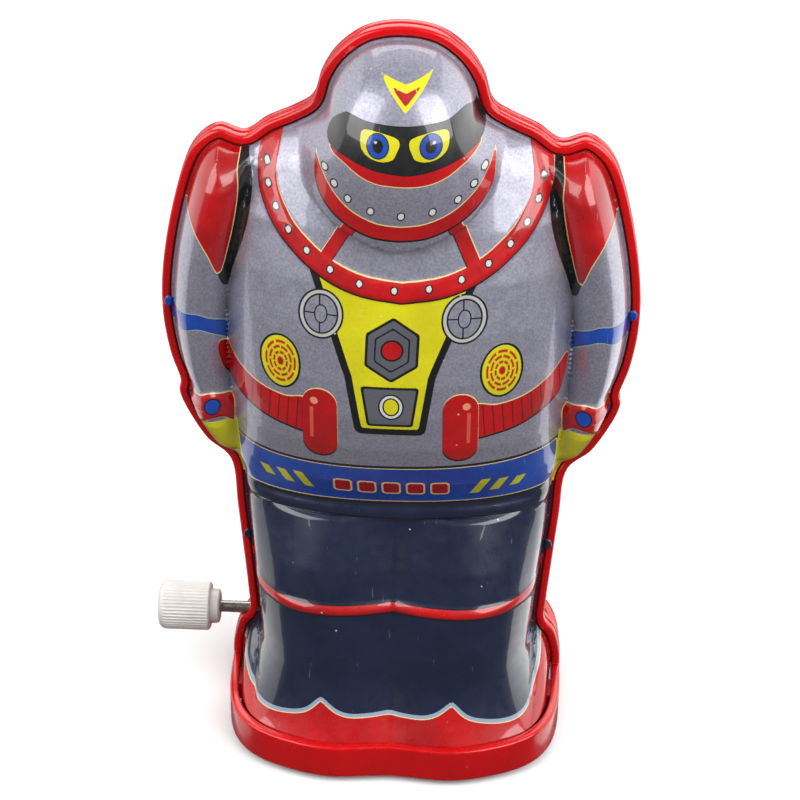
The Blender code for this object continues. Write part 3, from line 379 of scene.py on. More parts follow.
def front_art(points):
    """The front sheet's printed shapes as signed distances."""
    shift = np.interp(points[:, 1], PRINT_LEVELS, PRINT_SHIFT)
    printed = np.column_stack([points[:, 0] - shift, points[:, 1]])
    ring_at = points - (RING_SHIFT, 0.0)
    art = shared_art(points, printed, ring_at, STRUT_SHIFT, BELT_SLOPE)
    yoke = half_shape(ring_at, RING_ROUTE)
    art["funnel"] = np.maximum(half_shape(printed, FUNNEL, smooth=False), -yoke)
    for shape, outline in {"badge": BADGE, "crest_edge": CREST_EDGE, "crest": CREST}.items():
        art[shape] = half_shape(printed, outline, smooth=False)
    for shape, outline in {"hose": HOSE, "visor_red": VISOR_RED, "visor": VISOR, "lens": LENS}.items():
        art[shape] = half_shape(printed, outline)
    art["lamp"] = disc(printed, 0.2, 68.4, 1.75, 2.05, mirror=False)
    art["dial"] = disc(printed, DIAL_X, DIAL_Z, 3.25, 3.75)
    art["speaker"] = disc(printed, SPEAKER_X, SPEAKER_Z, SPEAKER_WIDE, SPEAKER_TALL)
    art["pill"] = bar(printed, 11.0, 64.2, 2.75, 6.3, 2.7)
    gauge = np.arange(6) * math.pi / 3
    hexagon = np.column_stack([GAUGE_X + 4.3 * np.sin(gauge), GAUGE_Z + 4.9 * np.cos(gauge)])
    art["emblem"] = signed(printed, hexagon)
    art["hub"] = np.hypot(*(printed - (GAUGE_X, GAUGE_Z)).T) - 1.5
    art["iris"] = np.maximum(disc(printed, 3.9, 112.0, 1.55, 1.75), art["lens"] + 0.1)
    art["spark"] = disc(printed, 4.3, 112.5, 0.3, 0.3)
    return art


def ring_rivets(points):
    """Rivets around the yoke, closer together where the sheet turns back."""
    curve = catmull_rom(RING_ROUTE, 8) + (0.0, 0.3)
    length = np.concatenate([[0.0], np.cumsum(np.linalg.norm(np.diff(curve, axis=0), axis=1))])
    shapes = []
    for start, side in ((1.1, -1), (4.2, 1)):
        at = start
        while at < 29.3:
            x, z = (np.interp(at, length, curve[:, k]) for k in (0, 1))
            shapes.append(disc(points, side * x, z, 0.44, 0.55, mirror=False))
            at += 5.5 - 0.1 * at
    return np.minimum.reduce(shapes)


def rear_art(points):
    """The rear sheet's plainer print, with a vented back panel."""
    art = shared_art(points, points, points, 0.0, 0.0)
    art["funnel"] = bar(points, 0.0, PANEL_Z, 12.0, 9.5, 2.0, mirror=False)
    art["badge"] = bars(points, [(0.0, PANEL_Z + 3.4 * k) for k in range(-2, 3)], 8.6, 0.95, 0.9)
    for z in (PANEL_Z - 7.6, PANEL_Z + 7.6):
        art["rivet"] = np.minimum(art["rivet"], disc(points, 10.2, z, 0.55, 0.6))
    art["pill"] = bar(points, 17.8, PANEL_Z, 1.9, 6.3, 1.8)
    art["visor"] = bar(points, 0.0, 109.0, 7.6, 2.3, 2.0, mirror=False)
    return art


# ---- mesh tools
def make(name, points, faces, materials, smooth_angle=40.0, face_materials=None):
    """A mesh object from points in millimetres."""
    mesh = bpy.data.meshes.new(name)
    mesh.from_pydata((np.asarray(points, float) * MM).tolist(), [], [list(map(int, f)) for f in faces])
    for mat in materials:
        mesh.materials.append(mat)
    if face_materials is not None:
        mesh.polygons.foreach_set("material_index", np.asarray(face_materials, np.int32))
    mesh.validate()
    made = bpy.data.objects.new(name, mesh)
    bpy.context.scene.collection.objects.link(made)
    finish_mesh(made, smooth_angle)
    return made


def finish_mesh(made, smooth_angle):
    """Points every face outwards and shades the mesh smooth up to an angle."""
    bm = bmesh.new()
    bm.from_mesh(made.data)
    bmesh.ops.recalc_face_normals(bm, faces=bm.faces)
    bm.to_mesh(made.data)
    bm.free()
    made.data.shade_smooth()
    made.data.set_sharp_from_angle(angle=math.radians(smooth_angle))


def skin(name, rings, mat, smooth_angle=40.0, wrap=False):
    """Joins point rings of equal length with quads, and closes or joins the two ends."""
    rings = [np.asarray(r, float) for r in rings]
    count = len(rings[0])
    faces = []
    for r in range(len(rings) if wrap else len(rings) - 1):
        here, there = r * count, (r + 1) % len(rings) * count
        for c in range(count):
            d = (c + 1) % count
            faces.append((here + c, here + d, there + d, there + c))
    if not wrap:
        last = (len(rings) - 1) * count
        faces.append(tuple(range(count))[::-1])
        faces.append(tuple(range(last, last + count)))
    return make(name, np.vstack(rings), faces, [mat], smooth_angle)


def turned(name, profile, sides, centre, mat, smooth_angle=40.0, ripple=None, wrap=False, upright=False):
    """A solid turned about an X axis, or an upright one; profile is (place on the axis, radius) points."""
    rings = []
    a = np.arange(sides) * 2 * math.pi / sides
    for at, radius in profile:
        r = np.full(sides, radius) if ripple is None else ripple(at, radius, a)
        ring = np.column_stack([np.full(sides, at), centre[0] + r * np.cos(a), centre[1] + r * np.sin(a)])
        rings.append(np.roll(ring, -1, axis=1) if upright else ring)
    return skin(name, rings, mat, smooth_angle, wrap=wrap)


def round_corners(corners, radii, steps=4):
    """A closed section with each corner replaced by an arc-like curve of the given reach."""
    made = []
    count = len(corners)
    for i in range(count):
        here = np.array(corners[i], float)
        before, after = np.array(corners[i - 1], float), np.array(corners[(i + 1) % count], float)
        reach = radii[i]
        if reach <= 0:
            made.append(here)
            continue
        start = here + (before - here) / np.linalg.norm(before - here) * reach
        end = here + (after - here) / np.linalg.norm(after - here) * reach
        for k in range(steps + 1):
            t = k / steps
            made.append((1 - t) ** 2 * start + 2 * t * (1 - t) * here + t ** 2 * end)
    return np.array(made)


def cut(target, tools):
    """Applies Boolean cuts and removes the cutting shapes."""
    for tool in tools:
        modifier = target.modifiers.new(tool.name, "BOOLEAN")
        modifier.operation = "DIFFERENCE"
        modifier.object = tool
        modifier.solver = "EXACT"
    bpy.context.view_layer.update()
    finished = target.evaluated_get(bpy.context.evaluated_depsgraph_get())
    result = bpy.data.meshes.new_from_object(finished)
    target.modifiers.clear()
    old = target.data
    target.data = result
    bpy.data.meshes.remove(old)
    for tool in tools:
        bpy.data.objects.remove(tool, do_unlink=True)


def joined(objects, name):
    """One object from several, keeping the first one's materials in order."""
    bm = bmesh.new()
    materials = []
    for thing in objects:
        for mat in thing.data.materials:
            if mat not in materials:
                materials.append(mat)
    for thing in objects:
        start = len(bm.faces)
        bm.from_mesh(thing.data)
        bm.faces.ensure_lookup_table()
        for face in bm.faces[start:]:
            face.material_index = materials.index(thing.data.materials[face.material_index])
    mesh = bpy.data.meshes.new(name)
    bm.to_mesh(mesh)
    bm.free()
    for mat in materials:
        mesh.materials.append(mat)
    made = bpy.data.objects.new(name, mesh)
    bpy.context.scene.collection.objects.link(made)
    for thing in objects:
        bpy.data.objects.remove(thing, do_unlink=True)
    return made


def place(piece, body, node):
    """Hangs a finished piece on its body, in place of the CAD node of the same part."""
    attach(piece, body)
    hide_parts(node)
    return piece


# ---- materials
def ink(red, green, blue):
    """A colour given in 0 to 255 display values."""
    shown = np.array((red, green, blue)) / 255
    linear = np.where(shown < 0.04045, shown / 12.92, ((shown + 0.055) / 1.055) ** 2.4)
    return (*linear.tolist(), 1.0)


SILVER, SILVER_DARK, SILVER_LIGHT = ink(158, 156, 173), ink(138, 136, 156), ink(180, 179, 192)
RED, RED_DEEP, YELLOW, YELLOW_DEEP = ink(192, 8, 15), ink(158, 6, 12), ink(214, 208, 20), ink(196, 188, 18)
BLUE, BLUE_DEEP, NAVY, NAVY_DEEP = ink(26, 78, 176), ink(18, 56, 150), ink(24, 33, 60), ink(17, 24, 48)
BLACK, CREAM, PALE, GREY = ink(16, 16, 17), ink(232, 206, 142), ink(140, 160, 182), ink(92, 92, 101)
CHALK = ink(206, 206, 204)


class Value:
    """A number from a shader node. Arithmetic on it adds maths nodes to the same material."""

    def __init__(self, shader, socket):
        self.shader = shader
        self.socket = socket

    def __add__(self, other):
        return self.shader.calc("ADD", self, other)

    def __sub__(self, other):
        return self.shader.calc("SUBTRACT", self, other)

    def __rsub__(self, other):
        return self.shader.calc("SUBTRACT", other, self)

    def __mul__(self, other):
        return self.shader.calc("MULTIPLY", self, other)

    def __truediv__(self, other):
        return self.shader.calc("DIVIDE", self, other)

    def __abs__(self):
        return self.shader.calc("ABSOLUTE", self)

    def most(self, other):
        return self.shader.calc("MAXIMUM", self, other)

    def least(self, other):
        return self.shader.calc("MINIMUM", self, other)


class Shader:
    """A short way to build a node material. Places are in millimetres."""

    def __init__(self, name):
        self.material = bpy.data.materials.new(name)
        self.material.use_nodes = True
        self.tree = self.material.node_tree
        self.surface = self.tree.nodes["Principled BSDF"]
        scaled = self.node("ShaderNodeVectorMath", operation="SCALE")
        self.plug(scaled.inputs[0], self.node("ShaderNodeTexCoord").outputs["Object"])
        scaled.inputs["Scale"].default_value = 1.0 / MM
        self.at = scaled.outputs[0]

    def node(self, kind, **settings):
        made = self.tree.nodes.new(kind)
        for key, value in settings.items():
            setattr(made, key, value)
        return made

    def plug(self, socket, value):
        if isinstance(value, Value):
            value = value.socket
        if isinstance(value, bpy.types.NodeSocket):
            self.tree.links.new(value, socket)
        else:
            socket.default_value = value

    def filled(self, made, **values):
        """Sets a node's inputs by name."""
        for key, value in values.items():
            self.plug(made.inputs[key.replace("_", " ")], value)
        return made

    def set(self, **values):
        self.filled(self.surface, **values)

    def calc(self, operation, *values):
        made = self.node("ShaderNodeMath", operation=operation)
        for socket, value in zip(made.inputs, values):
            self.plug(socket, value)
        return Value(self, made.outputs[0])

    def ramp(self, value, low, high, to_low=0.0, to_high=1.0):
        made = self.node("ShaderNodeMapRange", interpolation_type="SMOOTHSTEP")
        for socket, v in zip(made.inputs, (value, low, high, to_low, to_high)):
            self.plug(socket, v)
        return Value(self, made.outputs[0])

    def mix(self, factor, a, b):
        made = self.node("ShaderNodeMix", data_type="RGBA")
        return self.filled(made, Factor=factor, A=a, B=b).outputs["Result"]

    def noise(self, per_mm, detail=2.0, roughness=0.5, stretch=(1.0, 1.0, 1.0)):
        moved = self.node("ShaderNodeVectorMath", operation="MULTIPLY")
        self.plug(moved.inputs[0], self.at)
        moved.inputs[1].default_value = stretch
        made = self.node("ShaderNodeTexNoise")
        self.filled(made, Vector=moved.outputs[0], Scale=per_mm, Detail=detail, Roughness=roughness)
        return Value(self, made.outputs["Fac"])

    def specks(self, per_mm, radius, share):
        """Small round spots: the nearest cell centre, kept only in a share of the cells."""
        made = self.filled(self.node("ShaderNodeTexVoronoi"), Vector=self.at, Scale=per_mm)
        close = self.ramp(made.outputs["Distance"], radius * 1.3, radius)
        parted = self.node("ShaderNodeSeparateColor")
        self.plug(parted.inputs[0], made.outputs["Color"])
        return close * self.calc("LESS_THAN", parted.outputs["Red"], share)

    def axis(self, name):
        made = self.node("ShaderNodeSeparateXYZ")
        self.plug(made.inputs[0], self.at)
        return Value(self, made.outputs[name])

    def attribute(self, name):
        return Value(self, self.node("ShaderNodeAttribute", attribute_name=name).outputs["Fac"])

    def edges(self):
        """High on outer edges and low in grooves."""
        return Value(self, self.node("ShaderNodeNewGeometry").outputs["Pointiness"])

    def bump(self, height, depth, normal=None):
        """Raises the surface by depth millimetres where height is one."""
        made = self.filled(self.node("ShaderNodeBump"), Distance=depth * MM, Height=height)
        if normal is not None:
            self.plug(made.inputs["Normal"], normal)
        return made.outputs["Normal"]


class Print(Shader):
    """Ink layers over bare silver sheet, laid one on another by signed distance attributes."""

    EDGE = 0.035

    def __init__(self, name):
        super().__init__(name)
        grain = self.noise(2.6, 3.0, 0.7)
        cloud = self.noise(0.07, 2.0)
        silver = self.mix(self.ramp(grain, 0.3, 0.7), SILVER_DARK, SILVER_LIGHT)
        self.silver = self.mix(cloud * 0.55, silver, SILVER)
        self.colour = self.silver
        self.bare = 1.0
        self.red = self.shaded(RED, RED_DEEP)
        self.blue = self.shaded(BLUE, BLUE_DEEP)
        self.yellow = self.shaded(YELLOW, YELLOW_DEEP)

    def cover(self, factor, colour, bare=0.0):
        """Lays a colour over the print so far and keeps track of where the sheet is bare."""
        self.colour = self.mix(factor, self.colour, colour)
        kept = (1.0 - factor) * self.bare
        self.bare = kept + factor * bare if bare else kept

    def under_zero(self, distance):
        return self.ramp(distance, self.EDGE, -self.EDGE)

    def fill(self, shape, *layers, bare=0.0):
        """Fills a shape. Each layer is a colour, or a colour and how far it grows past the edge."""
        for layer in layers:
            colour, grow = layer if isinstance(layer, tuple) and len(layer) == 2 else (layer, 0.0)
            self.cover(self.ramp(self.attribute(shape), grow + self.EDGE, grow - self.EDGE), colour, bare)

    def line(self, shape, colour, inner, outer):
        """Ink where the distance to the shape's edge lies between inner and outer."""
        off = abs(self.attribute(shape) - (inner + outer) / 2)
        half = (outer - inner) / 2
        self.cover(self.ramp(off, half + self.EDGE, half - self.EDGE), colour)

    def cast(self, shape, *layers):
        """A shape with a dark line below it and a cream line above it."""
        self.fill(shape + "_shade", BLACK)
        self.fill(shape + "_light", CREAM)
        self.fill(shape, *layers)

    def beside(self, x, z, shift=CHEST_SHIFT):
        """Distances across and up from a place that is mirrored on both sides of the sheet."""
        return abs(self.axis("X") - shift) - x, self.axis("Z") - z

    def stamp(self, shape, grow, distance, colour, share=1.0):
        """Ink where a distance is under zero inside a shape."""
        inside_shape = self.ramp(self.attribute(shape), grow + self.EDGE, grow - self.EDGE)
        self.cover(inside_shape * self.under_zero(distance) * share, colour)

    def shaded(self, light, dark, per_mm=0.12):
        """A colour with the slight mottling of printed ink."""
        mottle = self.noise(per_mm, 2.0) * 0.7 + self.noise(2.2, 2.0, 0.6) * 0.3
        return self.mix(self.ramp(mottle, 0.3, 0.7), light, dark)

    def finish(self):
        """Wear, dust, varnish and the faint waviness of pressed sheet."""
        scuff = self.noise(0.9, 5.0, 0.75)
        near_rim = self.ramp(self.attribute("edge"), 3.2, 1.7)
        rubbed_ridge = self.ramp(self.attribute("ridge") + scuff * 0.8, 1.16, 1.24)
        worn = self.ramp(scuff + near_rim * 0.12, 0.735, 0.76).most(rubbed_ridge)
        colour = self.mix(worn * 0.65, self.colour, ink(186, 184, 182))
        dust = self.specks(0.42, 0.055, 0.16)
        colour = self.mix(dust * 0.6, colour, ink(225, 225, 228))
        scratch = self.ramp(self.noise(0.6, 2.0, 0.5, (3.2, 1.0, 0.25)), 0.735, 0.75)
        self.set(Base_Color=self.mix(scratch * 0.12, colour, CHALK))
        self.set(Metallic=self.bare.most(worn) * 0.55)
        rough = self.ramp(self.noise(0.5, 3.0, 0.6), 0.3, 0.7, 0.26, 0.4)
        self.set(Roughness=rough + self.bare * 0.08)
        self.set(Coat_Weight=1.0, Coat_Roughness=0.045, Coat_IOR=1.52)
        wave = self.bump(self.noise(0.16, 1.5, 0.4), 0.10)
        peel = self.bump(self.noise(1.4, 2.0, 0.5), 0.004, wave)
        raised = self.bump(1.0 - self.bare + dust, 0.012, peel)
        self.set(Normal=self.bump(scratch, -0.006, raised), Coat_Normal=wave)
        return self.material


def legs_and_arms(p):
    """The legs, the base of the sheet, the belt, the hands and the arms."""
    p.fill("legs", p.shaded(NAVY, NAVY_DEEP))
    p.fill("sole", (PALE, 0.62), (CREAM, 0.08), (p.red, -0.06))
    p.fill("welt", p.red)
    p.line("welt", BLACK, 0.0, 0.16)
    p.fill("belt", p.blue)
    p.line("belt", CREAM, -0.32, -0.12)
    p.line("belt", BLACK, -0.12, 0.42)
    p.fill("hand", (CREAM, 0.12), p.yellow)
    out, up = p.beside(29.0, 51.6, 0.0)
    p.stamp("hand", -0.3, abs(up - out * 0.1) - 0.12, ink(150, 140, 20))
    p.fill("cuff", (CREAM, 0.16), p.red)
    p.fill("button", (BLACK, 0.22), p.blue)
    p.fill("armband", (PALE, 0.3), (BLACK, 0.1), p.blue)
    p.fill("dark", p.shaded(BLACK, ink(30, 30, 33)))
    p.fill("shoulder", (CREAM, 0.14), p.red)


def collar_and_helmet(p):
    """The riveted yoke with its struts, then the helmet over it."""
    for shape in ("ring", "strut"):
        p.fill(shape + "_shade", BLACK)
        p.fill(shape + "_light", CREAM)
    p.fill("ring", p.red)
    p.fill("strut", p.red)
    p.fill("rivet_light", CREAM)
    p.fill("rivet", (BLACK, 0.2), CHALK)
    p.fill("helmet", p.silver, bare=1.0)
    p.cast("chin", p.red)
    p.fill("chin_rivet", (BLACK, 0.2), CHALK)


def speaker_slots(p):
    """Three rings of short red arcs and a red centre on each loudspeaker."""
    out, up = p.beside(SPEAKER_X, SPEAKER_Z)
    u, v = out / SPEAKER_WIDE, up / SPEAKER_TALL
    reach = p.calc("SQRT", u * u + v * v)
    angle = p.calc("ARCTAN2", v, u)
    for radius, turn in ((0.34, 0.2), (0.56, 0.0), (0.77, 0.4)):
        wave = abs(p.calc("SINE", angle * 4.0 + turn * 4.0))
        arc = (abs(reach - radius) - 0.055).most((0.28 - wave) * 0.3)
        p.stamp("speaker", -0.1, arc, p.red)
    p.stamp("speaker", -0.1, reach - 0.17, p.red)


def belt_slashes(p):
    """Three slanted stripes on each side of the belt, getting shorter outwards."""
    out, up = p.beside(14.2, BLOCK_Z, BELT_SHIFT)
    along_belt = out - up * 0.55
    step = p.calc("ROUND", along_belt / 3.0).most(0.0).least(2.0)
    across = abs(along_belt - step * 3.0)
    p.stamp("belt", -0.4, (across - 0.75).most(abs(up) - (1.7 - step * 0.35)), p.yellow)


def front_print():
    """The front sheet: robot chest with gauges, hoses, belt and visor."""
    p = Print("litho_front")
    legs_and_arms(p)
    p.fill("funnel", (BLACK, 1.15), p.yellow)
    p.fill("emblem", (BLACK, 0.42), p.shaded(GREY, ink(82, 82, 92)))
    p.line("emblem", BLACK, -1.25, -1.0)
    p.fill("hub", (BLACK, 0.3), p.red)
    p.fill("badge", (BLACK, 0.42), GREY)
    p.fill("lamp", (BLACK, 0.25), CHALK, (BLACK, -0.4), (p.yellow, -0.65))
    p.fill("dial", (BLACK, 0.3), ink(176, 176, 172), (BLACK, -0.5))
    p.fill("dial", (p.silver, -0.78), bare=1.0)
    out, up = p.beside(DIAL_X, DIAL_Z)
    p.stamp("dial", -0.7, abs(out).least(abs(up)) - 0.12, BLACK)
    p.fill("dial", (BLACK, -2.2))
    p.fill("dial", (p.silver, -2.42), bare=1.0)
    p.fill("speaker", (BLACK, 0.35), p.yellow)
    speaker_slots(p)
    p.cast("hose", p.red)
    out, up = p.beside(13.9, 65.0)
    rib = abs(p.calc("FRACT", (out + up * 0.08) / 1.5) - 0.5)
    p.stamp("hose", -0.1, rib - 0.06, ink(96, 4, 10))
    p.cast("pill", p.red)
    out, up = p.beside(12.3, 64.2)
    p.stamp("pill", -0.3, (abs(out) - 0.28).most(abs(up) - 2.9), ink(214, 92, 78), 0.8)
    out, up = p.beside(11.9, 68.3)
    p.stamp("pill", -0.3, p.calc("SQRT", out * out + up * up) - 0.62, ink(226, 140, 108))
    collar_and_helmet(p)
    p.fill("visor_red", (CREAM, 0.14), p.red)
    p.fill("visor", (BLACK, 0.16), p.shaded(ink(34, 34, 36), BLACK))
    p.fill("lens", (BLACK, 0.12), p.yellow)
    p.fill("iris", (BLACK, 0.16), p.blue, (BLACK, -0.75))
    p.fill("spark", CHALK)
    p.fill("crest_edge", YELLOW)
    p.fill("crest", p.red)
    belt_slashes(p)
    p.fill("block", (CREAM, 0.3), p.red)
    return p.finish()


def rear_print():
    """The rear sheet: the same suit with a vented back panel."""
    p = Print("litho_rear")
    legs_and_arms(p)
    p.fill("funnel", (BLACK, 0.6), p.yellow)
    p.fill("badge", (BLACK, 0.3), GREY)
    p.cast("pill", p.red)
    collar_and_helmet(p)
    p.fill("visor", (BLACK, 0.3), p.shaded(GREY, ink(76, 76, 84)))
    p.fill("rivet", (BLACK, 0.27), CHALK)
    p.fill("block", (CREAM, 0.3), p.red)
    return p.finish()


def bare_tin():
    """The unprinted inner side of the sheet: lacquered tinplate with a rolled grain."""
    s = Shader("bare_tin")
    rolled_grain = s.noise(0.9, 4.0, 0.7, (0.12, 1.0, 3.0))
    blotch = s.noise(0.12, 3.0, 0.6)
    colour = s.mix(s.ramp(rolled_grain, 0.3, 0.7), ink(176, 168, 142), ink(204, 198, 178))
    s.set(Base_Color=s.mix(s.ramp(blotch, 0.5, 0.75), colour, ink(150, 134, 96)))
    s.set(Metallic=1.0, Roughness=s.ramp(rolled_grain, 0.2, 0.8, 0.28, 0.5))
    s.set(Normal=s.bump(rolled_grain, 0.006))
    return s.material


def glossy_plastic(name, base, dark, worn, roughness=0.2):
    """Moulded plastic: faint flow marks, scuffs that follow the edges, dust and fine scratches."""
    s = Shader(name)
    flow = s.noise(0.11, 3.0, 0.6, (1.0, 1.0, 0.5))
    colour = s.mix(s.ramp(flow, 0.25, 0.75), base, dark)
    scuff = s.noise(1.6, 5.0, 0.75)
    rubbed = s.ramp(s.edges() + scuff * 0.12, 0.6, 0.66)
    nicks = s.ramp(scuff, 0.74, 0.77)
    wear = (rubbed * 0.5).most(nicks * 0.45)
    dust = s.specks(0.7, 0.05, 0.14)
    s.set(Base_Color=s.mix(dust * 0.55, s.mix(wear, colour, worn), ink(236, 214, 210)))
    haze = s.ramp(s.noise(0.35, 3.0, 0.6), 0.35, 0.75, roughness * 0.8, roughness * 1.6)
    s.set(Roughness=haze + wear.most(dust) * 0.35, Coat_Weight=0.25, Coat_Roughness=0.08)
    s.set(Subsurface_Weight=0.04, Subsurface_Radius=(0.002, 0.0006, 0.0005))
    sink = s.bump(s.noise(0.09, 1.0), 0.12)
    hairs = s.bump(s.ramp(s.noise(0.8, 2.0, 0.5, (0.3, 1.0, 4.0)), 0.72, 0.75), -0.006, sink)
    s.set(Normal=s.bump(scuff + dust * 3.0, 0.006, hairs))
    return s.material


def nylon():
    """White moulded nylon, slightly translucent, with painted grey shade in the hollows of its flutes."""
    s = Shader("white_nylon_look")
    cloud = s.noise(0.25, 3.0, 0.6)
    colour = s.mix(s.ramp(cloud, 0.3, 0.75), ink(222, 219, 215), ink(208, 204, 200))
    # Painted shade: the hollows of the flutes and other grooves are darkened towards grey.
    groove = s.ramp(s.edges(), 0.5, 0.44)
    colour = s.mix(groove * 0.35, colour, ink(186, 182, 174))
    spots = s.specks(0.9, 0.05, 0.12)
    s.set(Base_Color=s.mix(spots * 0.4, colour, ink(120, 112, 104)))
    s.set(Roughness=s.ramp(s.noise(1.2, 3.0), 0.3, 0.7, 0.34, 0.5))
    s.set(Subsurface_Weight=0.25, Subsurface_Radius=(0.0016, 0.0014, 0.0012))
    grain = s.bump(s.noise(3.0, 3.0, 0.6), 0.006)
    s.set(Normal=s.bump(s.noise(0.3, 1.0), 0.04, grain))
    return s.material


def worked_metal(name, light, dark, stain, roughness, stretch):
    """Machined or rolled metal: a directional grain, tarnish patches and brighter edges."""
    s = Shader(name)
    grain = s.noise(2.0, 4.0, 0.65, stretch)
    patch = s.noise(0.3, 4.0, 0.65)
    colour = s.mix(s.ramp(grain, 0.3, 0.7), light, dark)
    colour = s.mix(s.ramp(patch, 0.5, 0.75) * 0.7, colour, stain)
    shine = s.ramp(s.edges() + patch * 0.1, 0.58, 0.66)
    s.set(Base_Color=s.mix(shine * 0.6, colour, light), Metallic=1.0)
    s.set(Roughness=s.ramp(patch, 0.3, 0.75, roughness * 0.8, roughness * 1.5) + grain * 0.08)
    s.set(Normal=s.bump(grain, 0.008))
    return s.material


def tyre_rubber():
    """Matt black rubber with grey dust."""
    s = Shader("tyre_rubber")
    patch = s.noise(0.5, 4.0, 0.6)
    dusty = s.ramp(patch, 0.45, 0.8)
    s.set(Base_Color=s.mix(dusty * 0.5, ink(26, 26, 27), ink(92, 88, 84)))
    s.set(Roughness=s.ramp(patch, 0.2, 0.8, 0.6, 0.85))
    s.set(Normal=s.bump(s.noise(3.5, 4.0, 0.7), 0.02))
    return s.material


RED_PLASTIC = glossy_plastic("red_plastic_look", ink(208, 9, 14), ink(188, 6, 12), ink(232, 92, 84))
BLACK_PLASTIC = glossy_plastic("black_plastic_look", ink(28, 28, 30), ink(20, 20, 22), ink(92, 90, 88),
                               0.34)
NYLON = nylon()
STEEL = worked_metal("steel_look", ink(196, 190, 182), ink(152, 146, 138), ink(122, 106, 88), 0.24,
                     (0.15, 3.0, 3.0))
ZINC = worked_metal("zinc_plate_look", ink(190, 190, 188), ink(158, 158, 158), ink(140, 134, 122), 0.34,
                    (1.0, 0.15, 2.0))
BRASS = worked_metal("brass_look", ink(214, 176, 98), ink(180, 140, 70), ink(140, 98, 50), 0.28,
                     (4.0, 0.8, 0.8))
SPRING = worked_metal("spring_steel_look", ink(96, 102, 122), ink(60, 64, 82), ink(84, 66, 50), 0.24,
                      (3.0, 0.5, 0.5))
RUBBER = tyre_rubber()
BARE_TIN = bare_tin()


# ---- tin shells
def sheet_layout(line):
    """The sheet's points in (x, z) and its triangles: rows that follow the edge, then an even grid."""
    distances = (TIN_EDGE, 1.8, FLANGE_END, 1.98, 2.05, 2.17, 2.35, 2.57, 2.85, 3.2, 3.6, 4.05, 4.5)
    normal = inward_normals(line)
    rows = []
    for distance in distances:
        row = line + normal * distance
        row[0, 1] = TIN_FOOT
        row[-1, 1] = TIN_FOOT
        rows.append(row)
    across = np.arange(rows[-1][-1, 0] + TIN_GRID, rows[-1][0, 0] - TIN_GRID / 2, TIN_GRID)
    corners = [row[-1] for row in rows[1:]] + [np.array([x, TIN_FOOT]) for x in across]
    corners += [row[0] for row in rows[:0:-1]]
    loop = np.vstack([rows[0], corners])
    free = [row[1:-1] for row in rows[1:]]
    columns = np.arange(-77, 78) * TIN_GRID
    levels = np.arange(TIN_FOOT + 0.4, 124.5, TIN_GRID * 0.87)
    grid = np.array([(x + (k % 2) * TIN_GRID / 2, z) for k, z in enumerate(levels) for x in columns])
    keep = inside(grid, line)
    keep[keep] = line_distance(grid[keep], line) > distances[-1] + 0.3
    flat = [Vector(p) for p in np.vstack([loop] + free + [grid[keep]])]
    count = len(loop)
    edges = [(i, (i + 1) % count) for i in range(count)]
    points, _, faces, *_ = delaunay_2d_cdt(flat, edges, [], 1, 1e-4)
    return np.array([tuple(p) for p in points]), np.array([f[:3] for f in faces])


SHADE_OFFSET, LIGHT_OFFSET = (0.06, 0.36), (-0.04, -0.2)
CAST = ("ring", "strut", "pill", "hose", "chin", "rivet")


def tin_shell(name, side, line, art_of, mat):
    """One pressed and printed shell. side is -1 for the front and +1 for the rear."""
    points, triangles = sheet_layout(line)
    art = art_of(points)
    lower, upper = art_of(points + SHADE_OFFSET), art_of(points + LIGHT_OFFSET)
    for shape in CAST:
        if shape in art:
            art[shape + "_shade"] = lower[shape]
            art[shape + "_light"] = upper[shape]
    height, from_edge = tin_height(points, line, art)
    outer = np.stack([points[:, 0], side * height, points[:, 1]], axis=1)
    a, b, c = (outer[triangles[:, k]] for k in range(3))
    face_normal = np.cross(b - a, c - a)
    face_normal *= np.where(face_normal[:, 1:2] * side > 0, 1.0, -1.0)
    normals = np.zeros_like(outer)
    for k in range(3):
        np.add.at(normals, triangles[:, k], face_normal)
    normals /= np.linalg.norm(normals, axis=1)[:, None]
    count = len(outer)
    turns = np.vstack([triangles[:, pair] for pair in ((0, 1), (1, 2), (2, 0))])
    pairs = dict.fromkeys(map(tuple, turns.tolist()))
    rim = [(u, v) for u, v in pairs if (v, u) not in pairs]
    faces = triangles.tolist() + (triangles[:, ::-1] + count).tolist()
    faces += [(v, u, u + count, v + count) for u, v in rim]
    face_materials = [0] * len(triangles) + [1] * (len(triangles) + len(rim))
    both_sides = np.vstack([outer, outer - normals * TIN])
    made = make(name, both_sides, faces, [mat, BARE_TIN], 50.0, face_materials)
    art["edge"] = from_edge
    art["ridge"] = ridge_of(outer, normals, triangles)
    for shape, values in art.items():
        field = made.data.attributes.new(shape, "FLOAT", "POINT")
        field.data.foreach_set("value", np.concatenate([values, values]).astype(np.float32))
    return made


def ridge_of(points, normals, triangles):
    """How strongly the sheet bulges outwards at each point, from 0 in hollows to 1 on sharp ridges."""
    total = np.zeros(len(points))
    weight = np.zeros(len(points))
    for i, j in ((0, 1), (1, 2), (2, 0)):
        u, v = triangles[:, i], triangles[:, j]
        span = points[v] - points[u]
        length = np.linalg.norm(span, axis=1) + 1e-9
        bend = np.einsum("ij,ij->i", normals[v] - normals[u], span) / length ** 2
        for end in (u, v):
            np.add.at(total, end, bend)
            np.add.at(weight, end, 1.0)
    return smooth_step(0.25, 1.6, total / np.maximum(weight, 1.0))


LINE = frame_line(12)


TAB_HEIGHTS = (77.2, 32.2)


